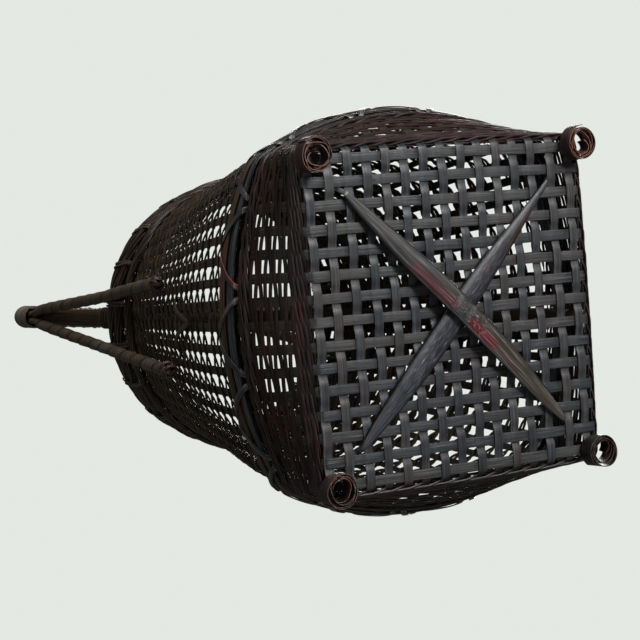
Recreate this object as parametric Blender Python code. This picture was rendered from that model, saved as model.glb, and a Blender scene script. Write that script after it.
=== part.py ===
"""Ikebana basket of split bamboo: a square plaited base that turns up into a round open wall.

Lengths are metres, +Z is up, and the basket stands on its four rolled feet at the origin.
The handle spans along X, and its near end is the one at -X. A place on the wall is given
by a turn and a height: the turn counts sides of the basket from the corner at -X, -Y, going
round by +X, +Y and -X, and the height is taken from the middle of the base mat.
"""
import math

import bmesh
import bpy
from mathutils import Vector

# Gaps that pieces keep to what they lie on
CLEARANCE = 0.0003
WEAVE_EASE = 0.0002

# Base mat and the strips that turn up from it
BASE_WIDTH = 0.200
STRIPS_EACH_WAY = 15
STRIP_WIDTH = 0.0062
STRIP_THICKNESS = 0.0009
FOLD_RADIUS = 0.003

# Wall, from the mat up
SHOULDER_HEIGHT = 0.0558
SHOULDER_HALF_WIDTH = 0.1224
WALL_HEIGHT = 0.298
MOUTH_RADIUS = 0.0838

# Height, bulge, roundness and strip width, as shares of what is at the shoulder
LOWER_WALL_SHARES = (
    (0.0, 0.0, 0.0, 1.0),
    (0.5, 0.70, 0.62, 1.0),
)
SHOULDER_ROUNDNESS_SHARE = 0.72
# Height above the shoulder, narrowing, gain in roundness and strip width, as shares
UPPER_WALL_SHARES = (
    (0.0, 0.0, 0.0, 0.95),
    (0.18, 0.09, 0.36, 0.9),
    (0.55, 0.5, 0.82, 0.78),
    (1.0, 1.0, 1.0, 0.62),
)

# Strands woven in and out of the wall
LOWER_STRAND_HEIGHT = 0.0044
LOWER_STRAND_THICKNESS = 0.0012
LOWER_STRAND_START = 0.007
LOWER_STRAND_RISE = 0.013
LOWER_STRAND_TURNS = 2
UPPER_STRAND_HEIGHT = 0.0034
UPPER_STRAND_THICKNESS = 0.0012
UPPER_STRAND_GAP = 0.0114
UPPER_STRAND_RISE = 0.048
UPPER_STRAND_TURNS = 3

# Hoops at the shoulder and their lashing
FLAT_HOOP_HEIGHT = 0.0085
FLAT_HOOP_THICKNESS = 0.0024
ROUND_HOOP_HEIGHT = 0.0066
ROUND_HOOP_THICKNESS = 0.0034
HOOP_GAP = 0.0006
SHOULDER_LASHING_WIDTH = 0.0036
SHOULDER_LASHINGS = 20

# Rim strands, the collar strand below them and their lashing
RIM_STRAND_HEIGHT = 0.0135
RIM_STRAND_THICKNESS = 0.005
RIM_STRAND_GAP = 0.0025
RIM_HOOP_HEIGHT = 0.014
RIM_HOOP_THICKNESS = 0.0022
COLLAR_HEIGHT = 0.008
COLLAR_THICKNESS = 0.0045
COLLAR_SWAY = 0.0022
COLLAR_DROP = 0.0115
COLLAR_WAVES = 10
RIM_LASHING_WIDTH = 0.0022
RIM_LASHINGS = 20
RING_STATIONS = 40

# Lashing strip in general
LASHING_THICKNESS = 0.0008
LASHING_EASE = 0.0006

# Handle: a split-bamboo bow inside the wall, with a rod on each side of it
HANDLE_HEIGHT = 0.540
HANDLE_CROWN = 0.100
HANDLE_HALF_SPAN = 0.078
# The handle's plane stands off centre, turns a little about Z and leans toward -Y, and its
# ends come down at the middles of two sides, as shares of a side counted from the corner
HANDLE_SHIFT = 0.0062
HANDLE_SKEW = 0.0063
HANDLE_LEAN = 0.0068
NEAR_TURN_SHARE = 3.5
FAR_TURN_SHARE = 1.5
CROWN_STEPS = 14
CORE_WIDTH = 0.012
CORE_THICKNESS = 0.008
CORE_NECK_HEIGHT = 0.4045
CORE_NECK_WIDTH = 0.0112
CORE_NECK_THICKNESS = 0.006
CORE_TOP_WIDTH = 0.008
CORE_TOP_THICKNESS = 0.0044
CORE_STAND_OFF = 0.0062
ROD_DIAMETER = 0.0082
ROD_TOP_DIAMETER = 0.005
ROD_SIDES = 7
FORK_HEIGHT = 0.420
FORK_SPREAD = 0.0098
FORK_STAND_OFF = 0.0052
FRONT_ROD_SPREAD = 0.0152
BACK_ROD_SPREAD = 0.0221
FRONT_KNOT_SPREAD = 0.0215
FRONT_KNOT_HEIGHT = 0.170
BACK_KNOT_SPREAD = 0.0315
BACK_KNOT_HEIGHT = 0.161
KNOT_SIZE = 0.0102
KNOT_STRIP_WIDTH = 0.0026
KNOT_TURNS = 2.25
KNOT_STEPS = 8
KNOT_WEAVE_SHARE = 0.7

# Bindings on the handle
TOP_BINDING_TURNS = 24
TOP_BINDING_WIDTH = 0.0086
TOP_BINDING_START_DEGREES = 3
TOP_BINDING_STEPS = 8
CORE_BINDING_TURNS = 4
CORE_BINDING_WIDTH = 0.0024
CORE_BINDING_PITCH = 0.0032
CORE_TIE_WIDTH = 0.004
CORE_TIE_RISE_SHARE = 1.625
# Where the tie lies on the wall and where it goes through it, in strips from its middle one
TIE_STEP_SHARES = (-1.34, -1, 0, 1, 1.34)
TIE_PASSAGE_SHARE = 1.5

# Crossed bars under the base
BRACE_WIDTH = 0.0128
BRACE_THICKNESS = 0.0038
BRACE_TIP_WIDTH = 0.0032
BRACE_TIP_THICKNESS = 0.001
BRACE_TAPER_SHARE = 3
BRACE_BOW_SHARE = 1.06
BRACE_END_SHARE = 1.5
BRACE_STEPS = 8

# Rolled feet at the corners
FOOT_RADIUS = 0.0113
FOOT_LENGTH = 0.0098
FOOT_STRIP_THICKNESS = 0.0011
FOOT_ROLL_GAP = 0.0006
FOOT_ROLL_TURNS = 1.6
FOOT_INSET = 0.004
FOOT_STEPS = 15

# How the shapes are drawn
WALL_STEP_SHARE = 0.2
SHARPEST_BEND_SHARE = 0.6
SHARP_EDGE_DEGREES = 50

# Sections, as shares of the half width and the half thickness
FLAT_SECTION_SHARES = ((-1, -1), (1, -1), (1, 1), (-1, 1))
SPLIT_SECTION_SHARES = ((-1, -1), (1, -1), (0, 1))
HALF_ROUND_SECTION_SHARES = ((-1, -1), (1, -1), (0.8, 0.3), (0, 1), (-0.8, 0.3))
BOW_SECTION_SHARES = (
    (1, -0.45), (1, 0.45), (0.55, 1), (-0.55, 1), (-1, 0.45), (-1, -0.45), (-0.55, -1), (0.55, -1),
)

STRIP_PITCH = BASE_WIDTH / STRIPS_EACH_WAY
OPEN_SHARE = 1 - STRIP_WIDTH / STRIP_PITCH
STRIP_WAVE = (STRIP_THICKNESS + CLEARANCE) / (2 * OPEN_SHARE)
MAT_FACE = STRIP_WAVE + STRIP_THICKNESS / 2 + CLEARANCE
MAT_LEVEL = FOOT_LENGTH + MAT_FACE
STAKE_FACE = STRIP_THICKNESS / 2 + CLEARANCE


def wall_levels():
    """Height, half width, roundness and strip width at each level of the wall, from the mat up."""
    bulge = SHOULDER_HALF_WIDTH - BASE_WIDTH / 2
    narrowing = SHOULDER_HALF_WIDTH - MOUTH_RADIUS
    rise = WALL_HEIGHT - SHOULDER_HEIGHT
    levels = []
    for height_share, bulge_share, round_share, width_share in LOWER_WALL_SHARES:
        height = SHOULDER_HEIGHT * height_share
        half_width = BASE_WIDTH / 2 + bulge * bulge_share
        roundness = SHOULDER_ROUNDNESS_SHARE * round_share
        levels.append((height, half_width, roundness, STRIP_WIDTH * width_share))
    for height_share, narrow_share, round_share, width_share in UPPER_WALL_SHARES:
        height = SHOULDER_HEIGHT + rise * height_share
        half_width = SHOULDER_HALF_WIDTH - narrowing * narrow_share
        roundness = SHOULDER_ROUNDNESS_SHARE + (1 - SHOULDER_ROUNDNESS_SHARE) * round_share
        levels.append((height, half_width, roundness, STRIP_WIDTH * width_share))
    return levels


LEVELS = wall_levels()


def outline_point(turn, half_width, roundness):
    """Point of a level outline that lies between a square and a circle."""
    side = math.floor(turn) % 4
    along = 2 * (turn - math.floor(turn)) - 1
    square_x, square_y = ((along, -1), (1, along), (-along, 1), (-1, -along))[side]
    angle = math.radians(90 * turn - 135)
    x = square_x + (math.cos(angle) - square_x) * roundness
    y = square_y + (math.sin(angle) - square_y) * roundness
    return Vector((x * half_width, y * half_width, 0))


def wall_point(turn, height):
    """Point in the middle of the wall, which runs straight from level to level."""
    upper = 1
    while upper < len(LEVELS) - 1 and height > LEVELS[upper][0]:
        upper += 1
    low = LEVELS[upper - 1]
    high = LEVELS[upper]
    share = (height - low[0]) / (high[0] - low[0])
    start = outline_point(turn, low[1], low[2])
    end = outline_point(turn, high[1], high[2])
    point = start.lerp(end, share)
    point.z = MAT_LEVEL + height
    return point


def wall_frame(turn, height):
    """Point of the wall, with its directions along the wall, upward and outward."""
    step = WALL_STEP_SHARE / STRIPS_EACH_WAY
    rise = WALL_HEIGHT * step
    along = wall_point(turn + step, height) - wall_point(turn - step, height)
    upward = wall_point(turn, height + rise) - wall_point(turn, height - rise)
    along.normalize()
    upward.normalize()
    outward = along.cross(upward).normalized()
    return wall_point(turn, height), along, upward, outward


def wall_offset(turn, height, offset):
    """Point that stands off the wall by an offset, outward where it is positive."""
    point, along, upward, outward = wall_frame(turn, height)
    return point + outward * offset


def strip_turns(first, last):
    """Turns of the strips from one side to another, with the corner between two sides."""
    turns = []
    for side in range(first, last):
        for index in range(STRIPS_EACH_WAY):
            turns.append(side + (index + 0.5) / STRIPS_EACH_WAY)
        turns.append(side + 1)
    return turns


def sweep(points, sides, sizes, section, closed=False, wound=False):
    """Rings of a section carried along a path, mitred at its bends.

    A wound strip keeps its sides as they are given, so that its faces stay flat.
    """
    count = len(points)
    rings = []
    for index, point in enumerate(points):
        before = points[index - 1] if index > 0 or closed else point
        after = points[(index + 1) % count] if index < count - 1 or closed else point
        come = (point - before).normalized()
        leave = (after - point).normalized()
        tangent = (come + leave).normalized()
        bend = max(tangent.dot(leave if leave.length else come), SHARPEST_BEND_SHARE)
        side = sides[index]
        if not wound:
            side = (side - tangent * side.dot(tangent)).normalized()
        out = tangent.cross(side).normalized() / bend
        half_width, half_thickness = sizes[index]
        rings.append([
            point + side * (across * half_width) + out * (through * half_thickness)
            for across, through in section
        ])
    return rings


def add_side(shape, corners, flipped):
    """Two triangles between two rings, split so that a twisted strip keeps its thickness."""
    first, second, third, fourth = corners
    if flipped:
        shape.faces.new((first, second, fourth))
        shape.faces.new((second, third, fourth))
    else:
        shape.faces.new((first, second, third))
        shape.faces.new((first, third, fourth))


def skin(name, rings, material, closed=False, smooth=False):
    """One closed body from a run of rings, capped at its ends unless it closes on itself."""
    shape = bmesh.new()
    loops = [[shape.verts.new(point) for point in ring] for ring in rings]
    pairs = list(zip(loops, loops[1:]))
    if closed:
        pairs.append((loops[-1], loops[0]))
    else:
        shape.faces.new(loops[0])
        shape.faces.new(loops[-1])
    for first, second in pairs:
        for index in range(len(first)):
            following = (index + 1) % len(first)
            corners = (first[index], first[following], second[following], second[index])
            add_side(shape, corners, index >= len(first) / 2)
    bmesh.ops.recalc_face_normals(shape, faces=shape.faces)
    mesh = bpy.data.meshes.new(name)
    shape.to_mesh(mesh)
    shape.free()
    mesh.materials.append(material)
    if smooth:
        mesh.shade_smooth()
        mesh.set_sharp_from_angle(angle=math.radians(SHARP_EDGE_DEGREES))
    piece = bpy.data.objects.new(name, mesh)
    bpy.context.collection.objects.link(piece)
    return piece


def round_section(count):
    """Section of a round rod with a given number of sides."""
    angles = [2 * math.pi * index / count for index in range(count)]
    return [(math.cos(angle), math.sin(angle)) for angle in angles]


def report_least_gap(name, points, per_turn, thickness):
    """Print the least gap between one turn of a winding and the turns beside it."""
    least = min(
        (first - second).length
        for index, first in enumerate(points)
        for second in points[index + per_turn - 1:index + per_turn + 2]
    )
    print(f"{name} least gap {(least - thickness) * 1000:.2f} mm")


def make_material(name, colour, roughness):
    """Plain bamboo material with one colour."""
    material = bpy.data.materials.new(name)
    material.use_nodes = True
    shader = material.node_tree.nodes["Principled BSDF"]
    shader.inputs["Base Color"].default_value = (*colour, 1)
    shader.inputs["Roughness"].default_value = roughness
    shader.inputs["Metallic"].default_value = 0
    return material


def stake_run(turn, reference):
    """Stations of a strip up the wall, from the fold to its tip under the rim lashing."""
    stations = []
    for height in [FOLD_RADIUS] + [level[0] for level in LEVELS[1:]]:
        point, along, upward, outward = wall_frame(turn, height)
        side = along if along.dot(reference) > 0 else -along
        width = STRIP_WIDTH
        for level in LEVELS:
            if height >= level[0]:
                width = level[3]
        stations.append((point, side, width))
    return stations


def strip_run(index, runs_along_x):
    """Stations of one strip: down a wall, across the mat over and under, and up again."""
    place = (index + 0.5) / STRIPS_EACH_WAY
    reference = Vector((0, 1, 0)) if runs_along_x else Vector((1, 0, 0))
    start_turn = 4 - place if runs_along_x else place
    end_turn = 1 + place if runs_along_x else 3 - place
    reach = BASE_WIDTH / 2
    crossings = [-reach + (number + 0.5) * STRIP_PITCH for number in range(STRIPS_EACH_WAY)]
    heights = []
    for number in range(STRIPS_EACH_WAY):
        inside = (index + number) % 2 == (0 if runs_along_x else 1)
        heights.append(STRIP_WAVE if inside else -STRIP_WAVE)
    fold_share = 2 * FOLD_RADIUS / STRIP_PITCH
    travel = [-reach + FOLD_RADIUS] + crossings + [reach - FOLD_RADIUS]
    heights = [heights[0] * fold_share] + heights + [heights[-1] * fold_share]
    offset = crossings[index]
    stations = list(reversed(stake_run(start_turn, reference)))
    for distance, height in zip(travel, heights):
        x, y = (distance, offset) if runs_along_x else (offset, distance)
        stations.append((Vector((x, y, MAT_LEVEL + height)), reference, STRIP_WIDTH))
    return stations + stake_run(end_turn, reference)


def make_strips(material):
    """Thirty strips that cross in the base and stand up as the stakes of the wall."""
    for axis, runs_along_x in (("x", True), ("y", False)):
        for index in range(STRIPS_EACH_WAY):
            stations = strip_run(index, runs_along_x)
            points = [point for point, side, width in stations]
            sides = [side for point, side, width in stations]
            sizes = [(width / 2, STRIP_THICKNESS / 2) for point, side, width in stations]
            rings = sweep(points, sides, sizes, FLAT_SECTION_SHARES)
            skin(f"strip_{axis}_{index + 1:02d}", rings, material)


def weaver_swing(thickness):
    """How far a strand swings off the stakes, so that it clears their edges."""
    return (STAKE_FACE + WEAVE_EASE + thickness / 2) / OPEN_SHARE


def make_weaver(name, start, rise, turns, phase, height, thickness, material):
    """One strand that climbs the wall in front of a stake and behind the next."""
    swing = weaver_swing(thickness)
    places = strip_turns(0, 4 * turns)[:-1]
    points = []
    sides = []
    count = phase
    for turn in places:
        level = start + rise * turn / 4
        point, along, upward, outward = wall_frame(turn, level)
        offset = 0
        if turn != math.floor(turn):
            offset = swing if count % 2 == 0 else -swing
            count += 1
        points.append(point + outward * offset)
        sides.append(upward)
    sizes = [(height / 2, thickness / 2)] * len(points)
    skin(name, sweep(points, sides, sizes, SPLIT_SECTION_SHARES), material)


def shoulder_heights():
    """Middle heights of the flat and the round hoop, which share the shoulder."""
    total = FLAT_HOOP_HEIGHT + HOOP_GAP + ROUND_HOOP_HEIGHT
    bottom = SHOULDER_HEIGHT - total / 2
    return bottom + FLAT_HOOP_HEIGHT / 2, bottom + total - ROUND_HOOP_HEIGHT / 2


def upper_strand_start():
    """Height at which the first upper strand starts, above the shoulder lashing."""
    flat_height, round_height = shoulder_heights()
    return round_height + ROUND_HOOP_HEIGHT / 2 + UPPER_STRAND_GAP + UPPER_STRAND_HEIGHT / 2


def make_weavers(material):
    """Two chasing strands in the lower wall and two in the upper wall."""
    for phase, letter in enumerate("ab"):
        make_weaver(
            f"lower_strand_{letter}", LOWER_STRAND_START + phase * LOWER_STRAND_RISE / 2,
            LOWER_STRAND_RISE, LOWER_STRAND_TURNS, phase,
            LOWER_STRAND_HEIGHT, LOWER_STRAND_THICKNESS, material,
        )
        make_weaver(
            f"upper_strand_{letter}", upper_strand_start() + phase * UPPER_STRAND_RISE / 2,
            UPPER_STRAND_RISE, UPPER_STRAND_TURNS, phase,
            UPPER_STRAND_HEIGHT, UPPER_STRAND_THICKNESS, material,
        )


def make_hoop(name, turns, heights, offset, height, thickness, section, material):
    """Closed hoop that lies round the wall at an offset from it."""
    points = []
    sides = []
    for turn, level in zip(turns, heights):
        point, along, upward, outward = wall_frame(turn, level)
        points.append(point + outward * offset)
        sides.append(-upward)
    sizes = [(height / 2, thickness / 2)] * len(points)
    rings = sweep(points, sides, sizes, section, closed=True)
    skin(name, rings, material, closed=True, smooth=True)


def make_shoulder_hoops(material):
    """Flat hoop and half-round hoop lashed on the outside of the shoulder."""
    flat_height, round_height = shoulder_heights()
    turns = strip_turns(0, 4)
    hoops = (
        ("shoulder_hoop_flat", flat_height, FLAT_HOOP_HEIGHT, FLAT_HOOP_THICKNESS, FLAT_SECTION_SHARES),
        ("shoulder_hoop_round", round_height, ROUND_HOOP_HEIGHT, ROUND_HOOP_THICKNESS,
         HALF_ROUND_SECTION_SHARES),
    )
    for name, level, height, thickness, section in hoops:
        offset = STAKE_FACE + WEAVE_EASE + thickness / 2
        make_hoop(name, turns, [level] * len(turns), offset, height, thickness, section, material)


def make_wrap(name, stations, width, material):
    """Closed wrap of thin strip through stations of turn, height and offset."""
    points = [wall_offset(turn, height, offset) for turn, height, offset in stations]
    sides = [wall_frame(turn, height)[1] for turn, height, offset in stations]
    sizes = [(width / 2, LASHING_THICKNESS / 2)] * len(points)
    rings = sweep(points, sides, sizes, FLAT_SECTION_SHARES, closed=True, wound=True)
    skin(name, rings, material, closed=True)


def make_shoulder_lashing(material):
    """Strip that crosses both hoops on a slant and goes back behind one stake."""
    flat_height, round_height = shoulder_heights()
    margin = CLEARANCE + LASHING_EASE + LASHING_THICKNESS / 2
    bottom = flat_height - FLAT_HOOP_HEIGHT / 2 - margin
    top = round_height + ROUND_HOOP_HEIGHT / 2 + margin
    outside = STAKE_FACE + WEAVE_EASE + ROUND_HOOP_THICKNESS + margin
    inside = -(STAKE_FACE + WEAVE_EASE + LASHING_THICKNESS / 2)
    gap = 1 / STRIPS_EACH_WAY
    stations = []
    for number in range(SHOULDER_LASHINGS):
        turn = 4 * number / SHOULDER_LASHINGS
        stations.append((turn, top, outside))
        stations.append((turn + gap, (top + bottom) / 2, outside))
        stations.append((turn + 2 * gap, bottom, outside))
        stations.append((turn + 2 * gap, bottom, inside))
        stations.append((turn + 3 * gap, top, inside))
    make_wrap("shoulder_lashing", stations, SHOULDER_LASHING_WIDTH, material)


def ring_sag():
    """How far the straight runs of a rim ring dip under its round line."""
    return MOUTH_RADIUS * (1 - math.cos(math.pi / RING_STATIONS))


def rim_heights():
    """Middle heights of the upper and the lower rim strand and of the collar strand."""
    upper = WALL_HEIGHT - RIM_STRAND_HEIGHT / 2
    lower = upper - RIM_STRAND_HEIGHT - RIM_STRAND_GAP
    collar = lower - RIM_STRAND_HEIGHT / 2 - COLLAR_DROP
    return upper, lower, collar


def rim_face():
    """Offset of the outer face of the rim strands."""
    return STAKE_FACE + WEAVE_EASE + ring_sag() + RIM_STRAND_THICKNESS


def make_rim(material):
    """Two outer strands and an inner hoop that grip the stake tips, and the wavy collar."""
    upper, lower, collar = rim_heights()
    turns = [4 * index / RING_STATIONS for index in range(RING_STATIONS)]
    strand_offset = rim_face() - RIM_STRAND_THICKNESS / 2
    for name, height in (("rim_strand_upper", upper), ("rim_strand_lower", lower)):
        make_hoop(name, turns, [height] * RING_STATIONS, strand_offset, RIM_STRAND_HEIGHT,
                  RIM_STRAND_THICKNESS, HALF_ROUND_SECTION_SHARES, material)
    hoop_offset = -(STAKE_FACE + WEAVE_EASE + RIM_HOOP_THICKNESS / 2)
    make_hoop("rim_hoop_inner", turns, [upper] * RING_STATIONS, hoop_offset, RIM_HOOP_HEIGHT,
              RIM_HOOP_THICKNESS, FLAT_SECTION_SHARES, material)
    collar_offset = STAKE_FACE + WEAVE_EASE + ring_sag() + COLLAR_THICKNESS / 2
    sway = [collar + COLLAR_SWAY * math.sin(math.pi * COLLAR_WAVES * turn / 2) for turn in turns]
    make_hoop("collar_strand", turns, sway, collar_offset, COLLAR_HEIGHT,
              COLLAR_THICKNESS, HALF_ROUND_SECTION_SHARES, material)


def rim_lashing_offsets():
    """Offsets of the rim lashing outside the strands and inside the hoop."""
    margin = CLEARANCE + WEAVE_EASE + LASHING_THICKNESS / 2
    return rim_face() + margin, -(STAKE_FACE + WEAVE_EASE + RIM_HOOP_THICKNESS + margin)


def make_rim_lashing(material):
    """Strip wound over the rim and through the wall under it, three stakes at a step."""
    upper, lower, collar = rim_heights()
    outside, inside = rim_lashing_offsets()
    margin = CLEARANCE + WEAVE_EASE + LASHING_THICKNESS / 2
    top = WALL_HEIGHT + margin
    bottom = lower - RIM_STRAND_HEIGHT / 2 - margin
    stations = []
    for number in range(RIM_LASHINGS):
        turn = 4 * number / RIM_LASHINGS
        following = 4 * (number + 1) / RIM_LASHINGS
        stations.append((turn, bottom, outside))
        stations.append((turn, top, outside))
        stations.append((turn, top, inside))
        stations.append((following, bottom, inside))
    make_wrap("rim_lashing", stations, RIM_LASHING_WIDTH, material)


def handle_drift(x, height):
    """How far toward +Y the handle's plane lies at a place in it."""
    skew = HANDLE_SKEW * x / HANDLE_HALF_SPAN
    return HANDLE_SHIFT + skew - HANDLE_LEAN * height / HANDLE_HEIGHT


def strip_spacing(middle_turn, height):
    """Distance along the wall from the middle strip of a side to the next one."""
    step = 1 / STRIPS_EACH_WAY
    return (wall_point(middle_turn + step, height) - wall_point(middle_turn, height)).length


def beside_handle(middle_turn, height, offset, distance):
    """Point off the wall at one end of the handle, a distance toward +Y from its plane."""
    middle = wall_offset(middle_turn, height, offset)
    across = handle_drift(middle.x, height) + distance
    direction = -1 if middle_turn == NEAR_TURN_SHARE else 1
    strips = direction * across / strip_spacing(middle_turn, height)
    return wall_offset(middle_turn + strips / STRIPS_EACH_WAY, height, offset)


def crown_frame(angle):
    """Point and outward direction on the handle's crown, from -X at zero over to +X at pi."""
    height = HANDLE_HEIGHT - HANDLE_CROWN * (1 - math.sin(angle))
    x = -HANDLE_HALF_SPAN * math.cos(angle)
    outward = Vector((-HANDLE_CROWN * math.cos(angle), 0, HANDLE_HALF_SPAN * math.sin(angle)))
    return Vector((x, handle_drift(x, height), MAT_LEVEL + height)), outward.normalized()


def core_line(middle_turn, height):
    """Point on the straight run of the core between the rim and the crown."""
    offset = -(CORE_STAND_OFF + CORE_THICKNESS / 2)
    rim = beside_handle(middle_turn, WALL_HEIGHT, offset, 0)
    crown, outward = crown_frame(0 if middle_turn == NEAR_TURN_SHARE else math.pi)
    share = (MAT_LEVEL + height - rim.z) / (crown.z - rim.z)
    return rim.lerp(crown, share)


def core_leg(middle_turn):
    """Stations of one end of the core, inside the wall from the mat to below the crown."""
    stations = []
    offset = -(CORE_STAND_OFF + CORE_THICKNESS / 2)
    heights = [MAT_FACE] + [level[0] for level in LEVELS[1:]]
    for height in heights:
        point = beside_handle(middle_turn, height, offset, 0)
        stations.append((point, CORE_WIDTH / 2, CORE_THICKNESS / 2))
    neck = core_line(middle_turn, CORE_NECK_HEIGHT)
    stations.append((neck, CORE_NECK_WIDTH / 2, CORE_NECK_THICKNESS / 2))
    return stations


def core_stations():
    """Stations of the bow that is the middle of the handle, from end to end."""
    stations = core_leg(NEAR_TURN_SHARE)
    for step in range(CROWN_STEPS + 1):
        angle = math.pi * step / CROWN_STEPS
        point, outward = crown_frame(angle)
        stations.append((point, CORE_TOP_WIDTH / 2, CORE_TOP_THICKNESS / 2))
    return stations + list(reversed(core_leg(FAR_TURN_SHARE)))


def make_core(material):
    """Bow of split bamboo, thick where it stands in the basket and thin over the crown."""
    stations = core_stations()
    points = [station[0] for station in stations]
    sizes = [(station[1], station[2]) for station in stations]
    sides = [Vector((0, 1, 0))] * len(points)
    rings = sweep(points, sides, sizes, BOW_SECTION_SHARES)
    skin("handle_core", rings, material, smooth=True)


def rod_rise():
    """Distance from the core's line out to a rod's line over the crown."""
    return CORE_TOP_THICKNESS / 2 + CLEARANCE + ROD_TOP_DIAMETER / 2


def rod_sizes(hand):
    """Spreads at the rim and at the knot, and the knot's height, for a rod on one side."""
    if hand < 0:
        return FRONT_ROD_SPREAD, FRONT_KNOT_SPREAD, FRONT_KNOT_HEIGHT
    return BACK_ROD_SPREAD, BACK_KNOT_SPREAD, BACK_KNOT_HEIGHT


def rod_leg(middle_turn, hand):
    """Stations of a side rod outside the wall, from above its knot to below the crown."""
    upper, lower, collar = rim_heights()
    outside, inside = rim_lashing_offsets()
    rim_spread, knot_spread, knot_height = rod_sizes(hand)
    radius = ROD_DIAMETER / 2
    rim_offset = outside + LASHING_THICKNESS / 2 + CLEARANCE + radius
    collar_offset = STAKE_FACE + WEAVE_EASE + ring_sag() + COLLAR_THICKNESS + CLEARANCE + radius
    knot_offset = weaver_swing(UPPER_STRAND_THICKNESS) + UPPER_STRAND_THICKNESS / 2 + KNOT_SIZE / 2
    start = knot_height + KNOT_SIZE / 2 + CLEARANCE
    share = (collar - start) / (WALL_HEIGHT - start)
    runs = (
        (start, knot_spread, knot_offset + CLEARANCE + WEAVE_EASE),
        (collar, knot_spread + (rim_spread - knot_spread) * share, collar_offset + LASHING_EASE),
        (WALL_HEIGHT, rim_spread, rim_offset + WEAVE_EASE),
    )
    stations = []
    for level, spread, offset in runs:
        stations.append((beside_handle(middle_turn, level, offset, hand * spread), radius))
    end = -1 if middle_turn == NEAR_TURN_SHARE else 1
    shift = Vector((end * FORK_STAND_OFF, hand * FORK_SPREAD, 0))
    stations.append((core_line(middle_turn, FORK_HEIGHT) + shift, radius))
    return stations


def rod_stations(hand):
    """Stations of a side rod from its knot at -X, over the crown, to its knot at +X."""
    near = rod_leg(NEAR_TURN_SHARE, hand)
    far = rod_leg(FAR_TURN_SHARE, hand)
    top_radius = ROD_TOP_DIAMETER / 2
    crown = []
    for step in range(CROWN_STEPS + 1):
        point, outward = crown_frame(math.pi * step / CROWN_STEPS)
        point = point + outward * rod_rise()
        point.y += hand * (top_radius + CLEARANCE / 2 + WEAVE_EASE)
        crown.append((point, top_radius))
    return near + crown + list(reversed(far))


def make_rods(material):
    """Two rods that run along the core over the crown and part in a V above the rim."""
    for name, hand in (("side_rod_front", -1), ("side_rod_back", 1)):
        stations = rod_stations(hand)
        points = [station[0] for station in stations]
        sizes = [(station[1], station[1]) for station in stations]
        sides = [Vector((0, 1, 0))] * len(points)
        rings = sweep(points, sides, sizes, round_section(ROD_SIDES))
        skin(name, rings, material, smooth=True)


def make_top_binding(material):
    """Strip wound round the core and both rods from one fork of the handle to the other."""
    steps = TOP_BINDING_STEPS
    core_half = CORE_TOP_THICKNESS / 2
    rod_radius = ROD_TOP_DIAMETER / 2
    middle = (rod_rise() + rod_radius - core_half) / 2
    corner = math.hypot(rod_radius + CLEARANCE / 2 + WEAVE_EASE, rod_rise() - middle) + rod_radius
    radius = (corner + CLEARANCE) / math.cos(math.pi / steps) + LASHING_THICKNESS / 2
    first = math.radians(TOP_BINDING_START_DEGREES)
    count = TOP_BINDING_TURNS * steps
    points = []
    sides = []
    for index in range(count + 1):
        angle = first + (math.pi - 2 * first) * index / count
        point, outward = crown_frame(angle)
        around = 2 * math.pi * index / steps
        across = Vector((0, 1, 0)) * math.cos(around) + outward * math.sin(around)
        points.append(point + outward * middle + across * radius)
        sides.append(outward.cross(Vector((0, 1, 0))))
    sizes = [(TOP_BINDING_WIDTH / 2, LASHING_THICKNESS / 2)] * len(points)
    rings = sweep(points, sides, sizes, FLAT_SECTION_SHARES, wound=True)
    report_least_gap("handle_binding", points, steps, TOP_BINDING_WIDTH)
    skin("handle_binding", rings, material)


def core_half_sizes(height):
    """Half width and half thickness of the core between the rim and its neck."""
    share = (height - WALL_HEIGHT) / (CORE_NECK_HEIGHT - WALL_HEIGHT)
    width = CORE_WIDTH + (CORE_NECK_WIDTH - CORE_WIDTH) * share
    thickness = CORE_THICKNESS + (CORE_NECK_THICKNESS - CORE_THICKNESS) * share
    return width / 2, thickness / 2


def make_core_bindings(material):
    """Four rings of strip wound on the core just above the rim at each end."""
    margin = CLEARANCE + LASHING_THICKNESS / 2
    start = WALL_HEIGHT + CORE_BINDING_WIDTH
    steps = len(BOW_SECTION_SHARES)
    for name, middle in (("core_binding_near", NEAR_TURN_SHARE), ("core_binding_far", FAR_TURN_SHARE)):
        points = []
        for index in range(CORE_BINDING_TURNS * steps + 1):
            height = start + CORE_BINDING_PITCH * index / steps
            half_width, half_thickness = core_half_sizes(height)
            across, through = BOW_SECTION_SHARES[index % steps]
            shift = Vector((through * (half_thickness + margin), across * (half_width + margin), 0))
            points.append(core_line(middle, height) + shift)
        sides = [Vector((0, 0, 1))] * len(points)
        sizes = [(CORE_BINDING_WIDTH / 2, LASHING_THICKNESS / 2)] * len(points)
        rings = sweep(points, sides, sizes, FLAT_SECTION_SHARES, wound=True)
        report_least_gap(name, points, steps, CORE_BINDING_WIDTH)
        skin(name, rings, material)


def tie_turn(middle_turn, height):
    """Turn of the strip that stands nearest to the core."""
    across = handle_drift(wall_point(middle_turn, height).x, height)
    direction = -1 if middle_turn == NEAR_TURN_SHARE else 1
    return middle_turn + direction * round(across / strip_spacing(middle_turn, height)) / STRIPS_EACH_WAY


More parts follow.
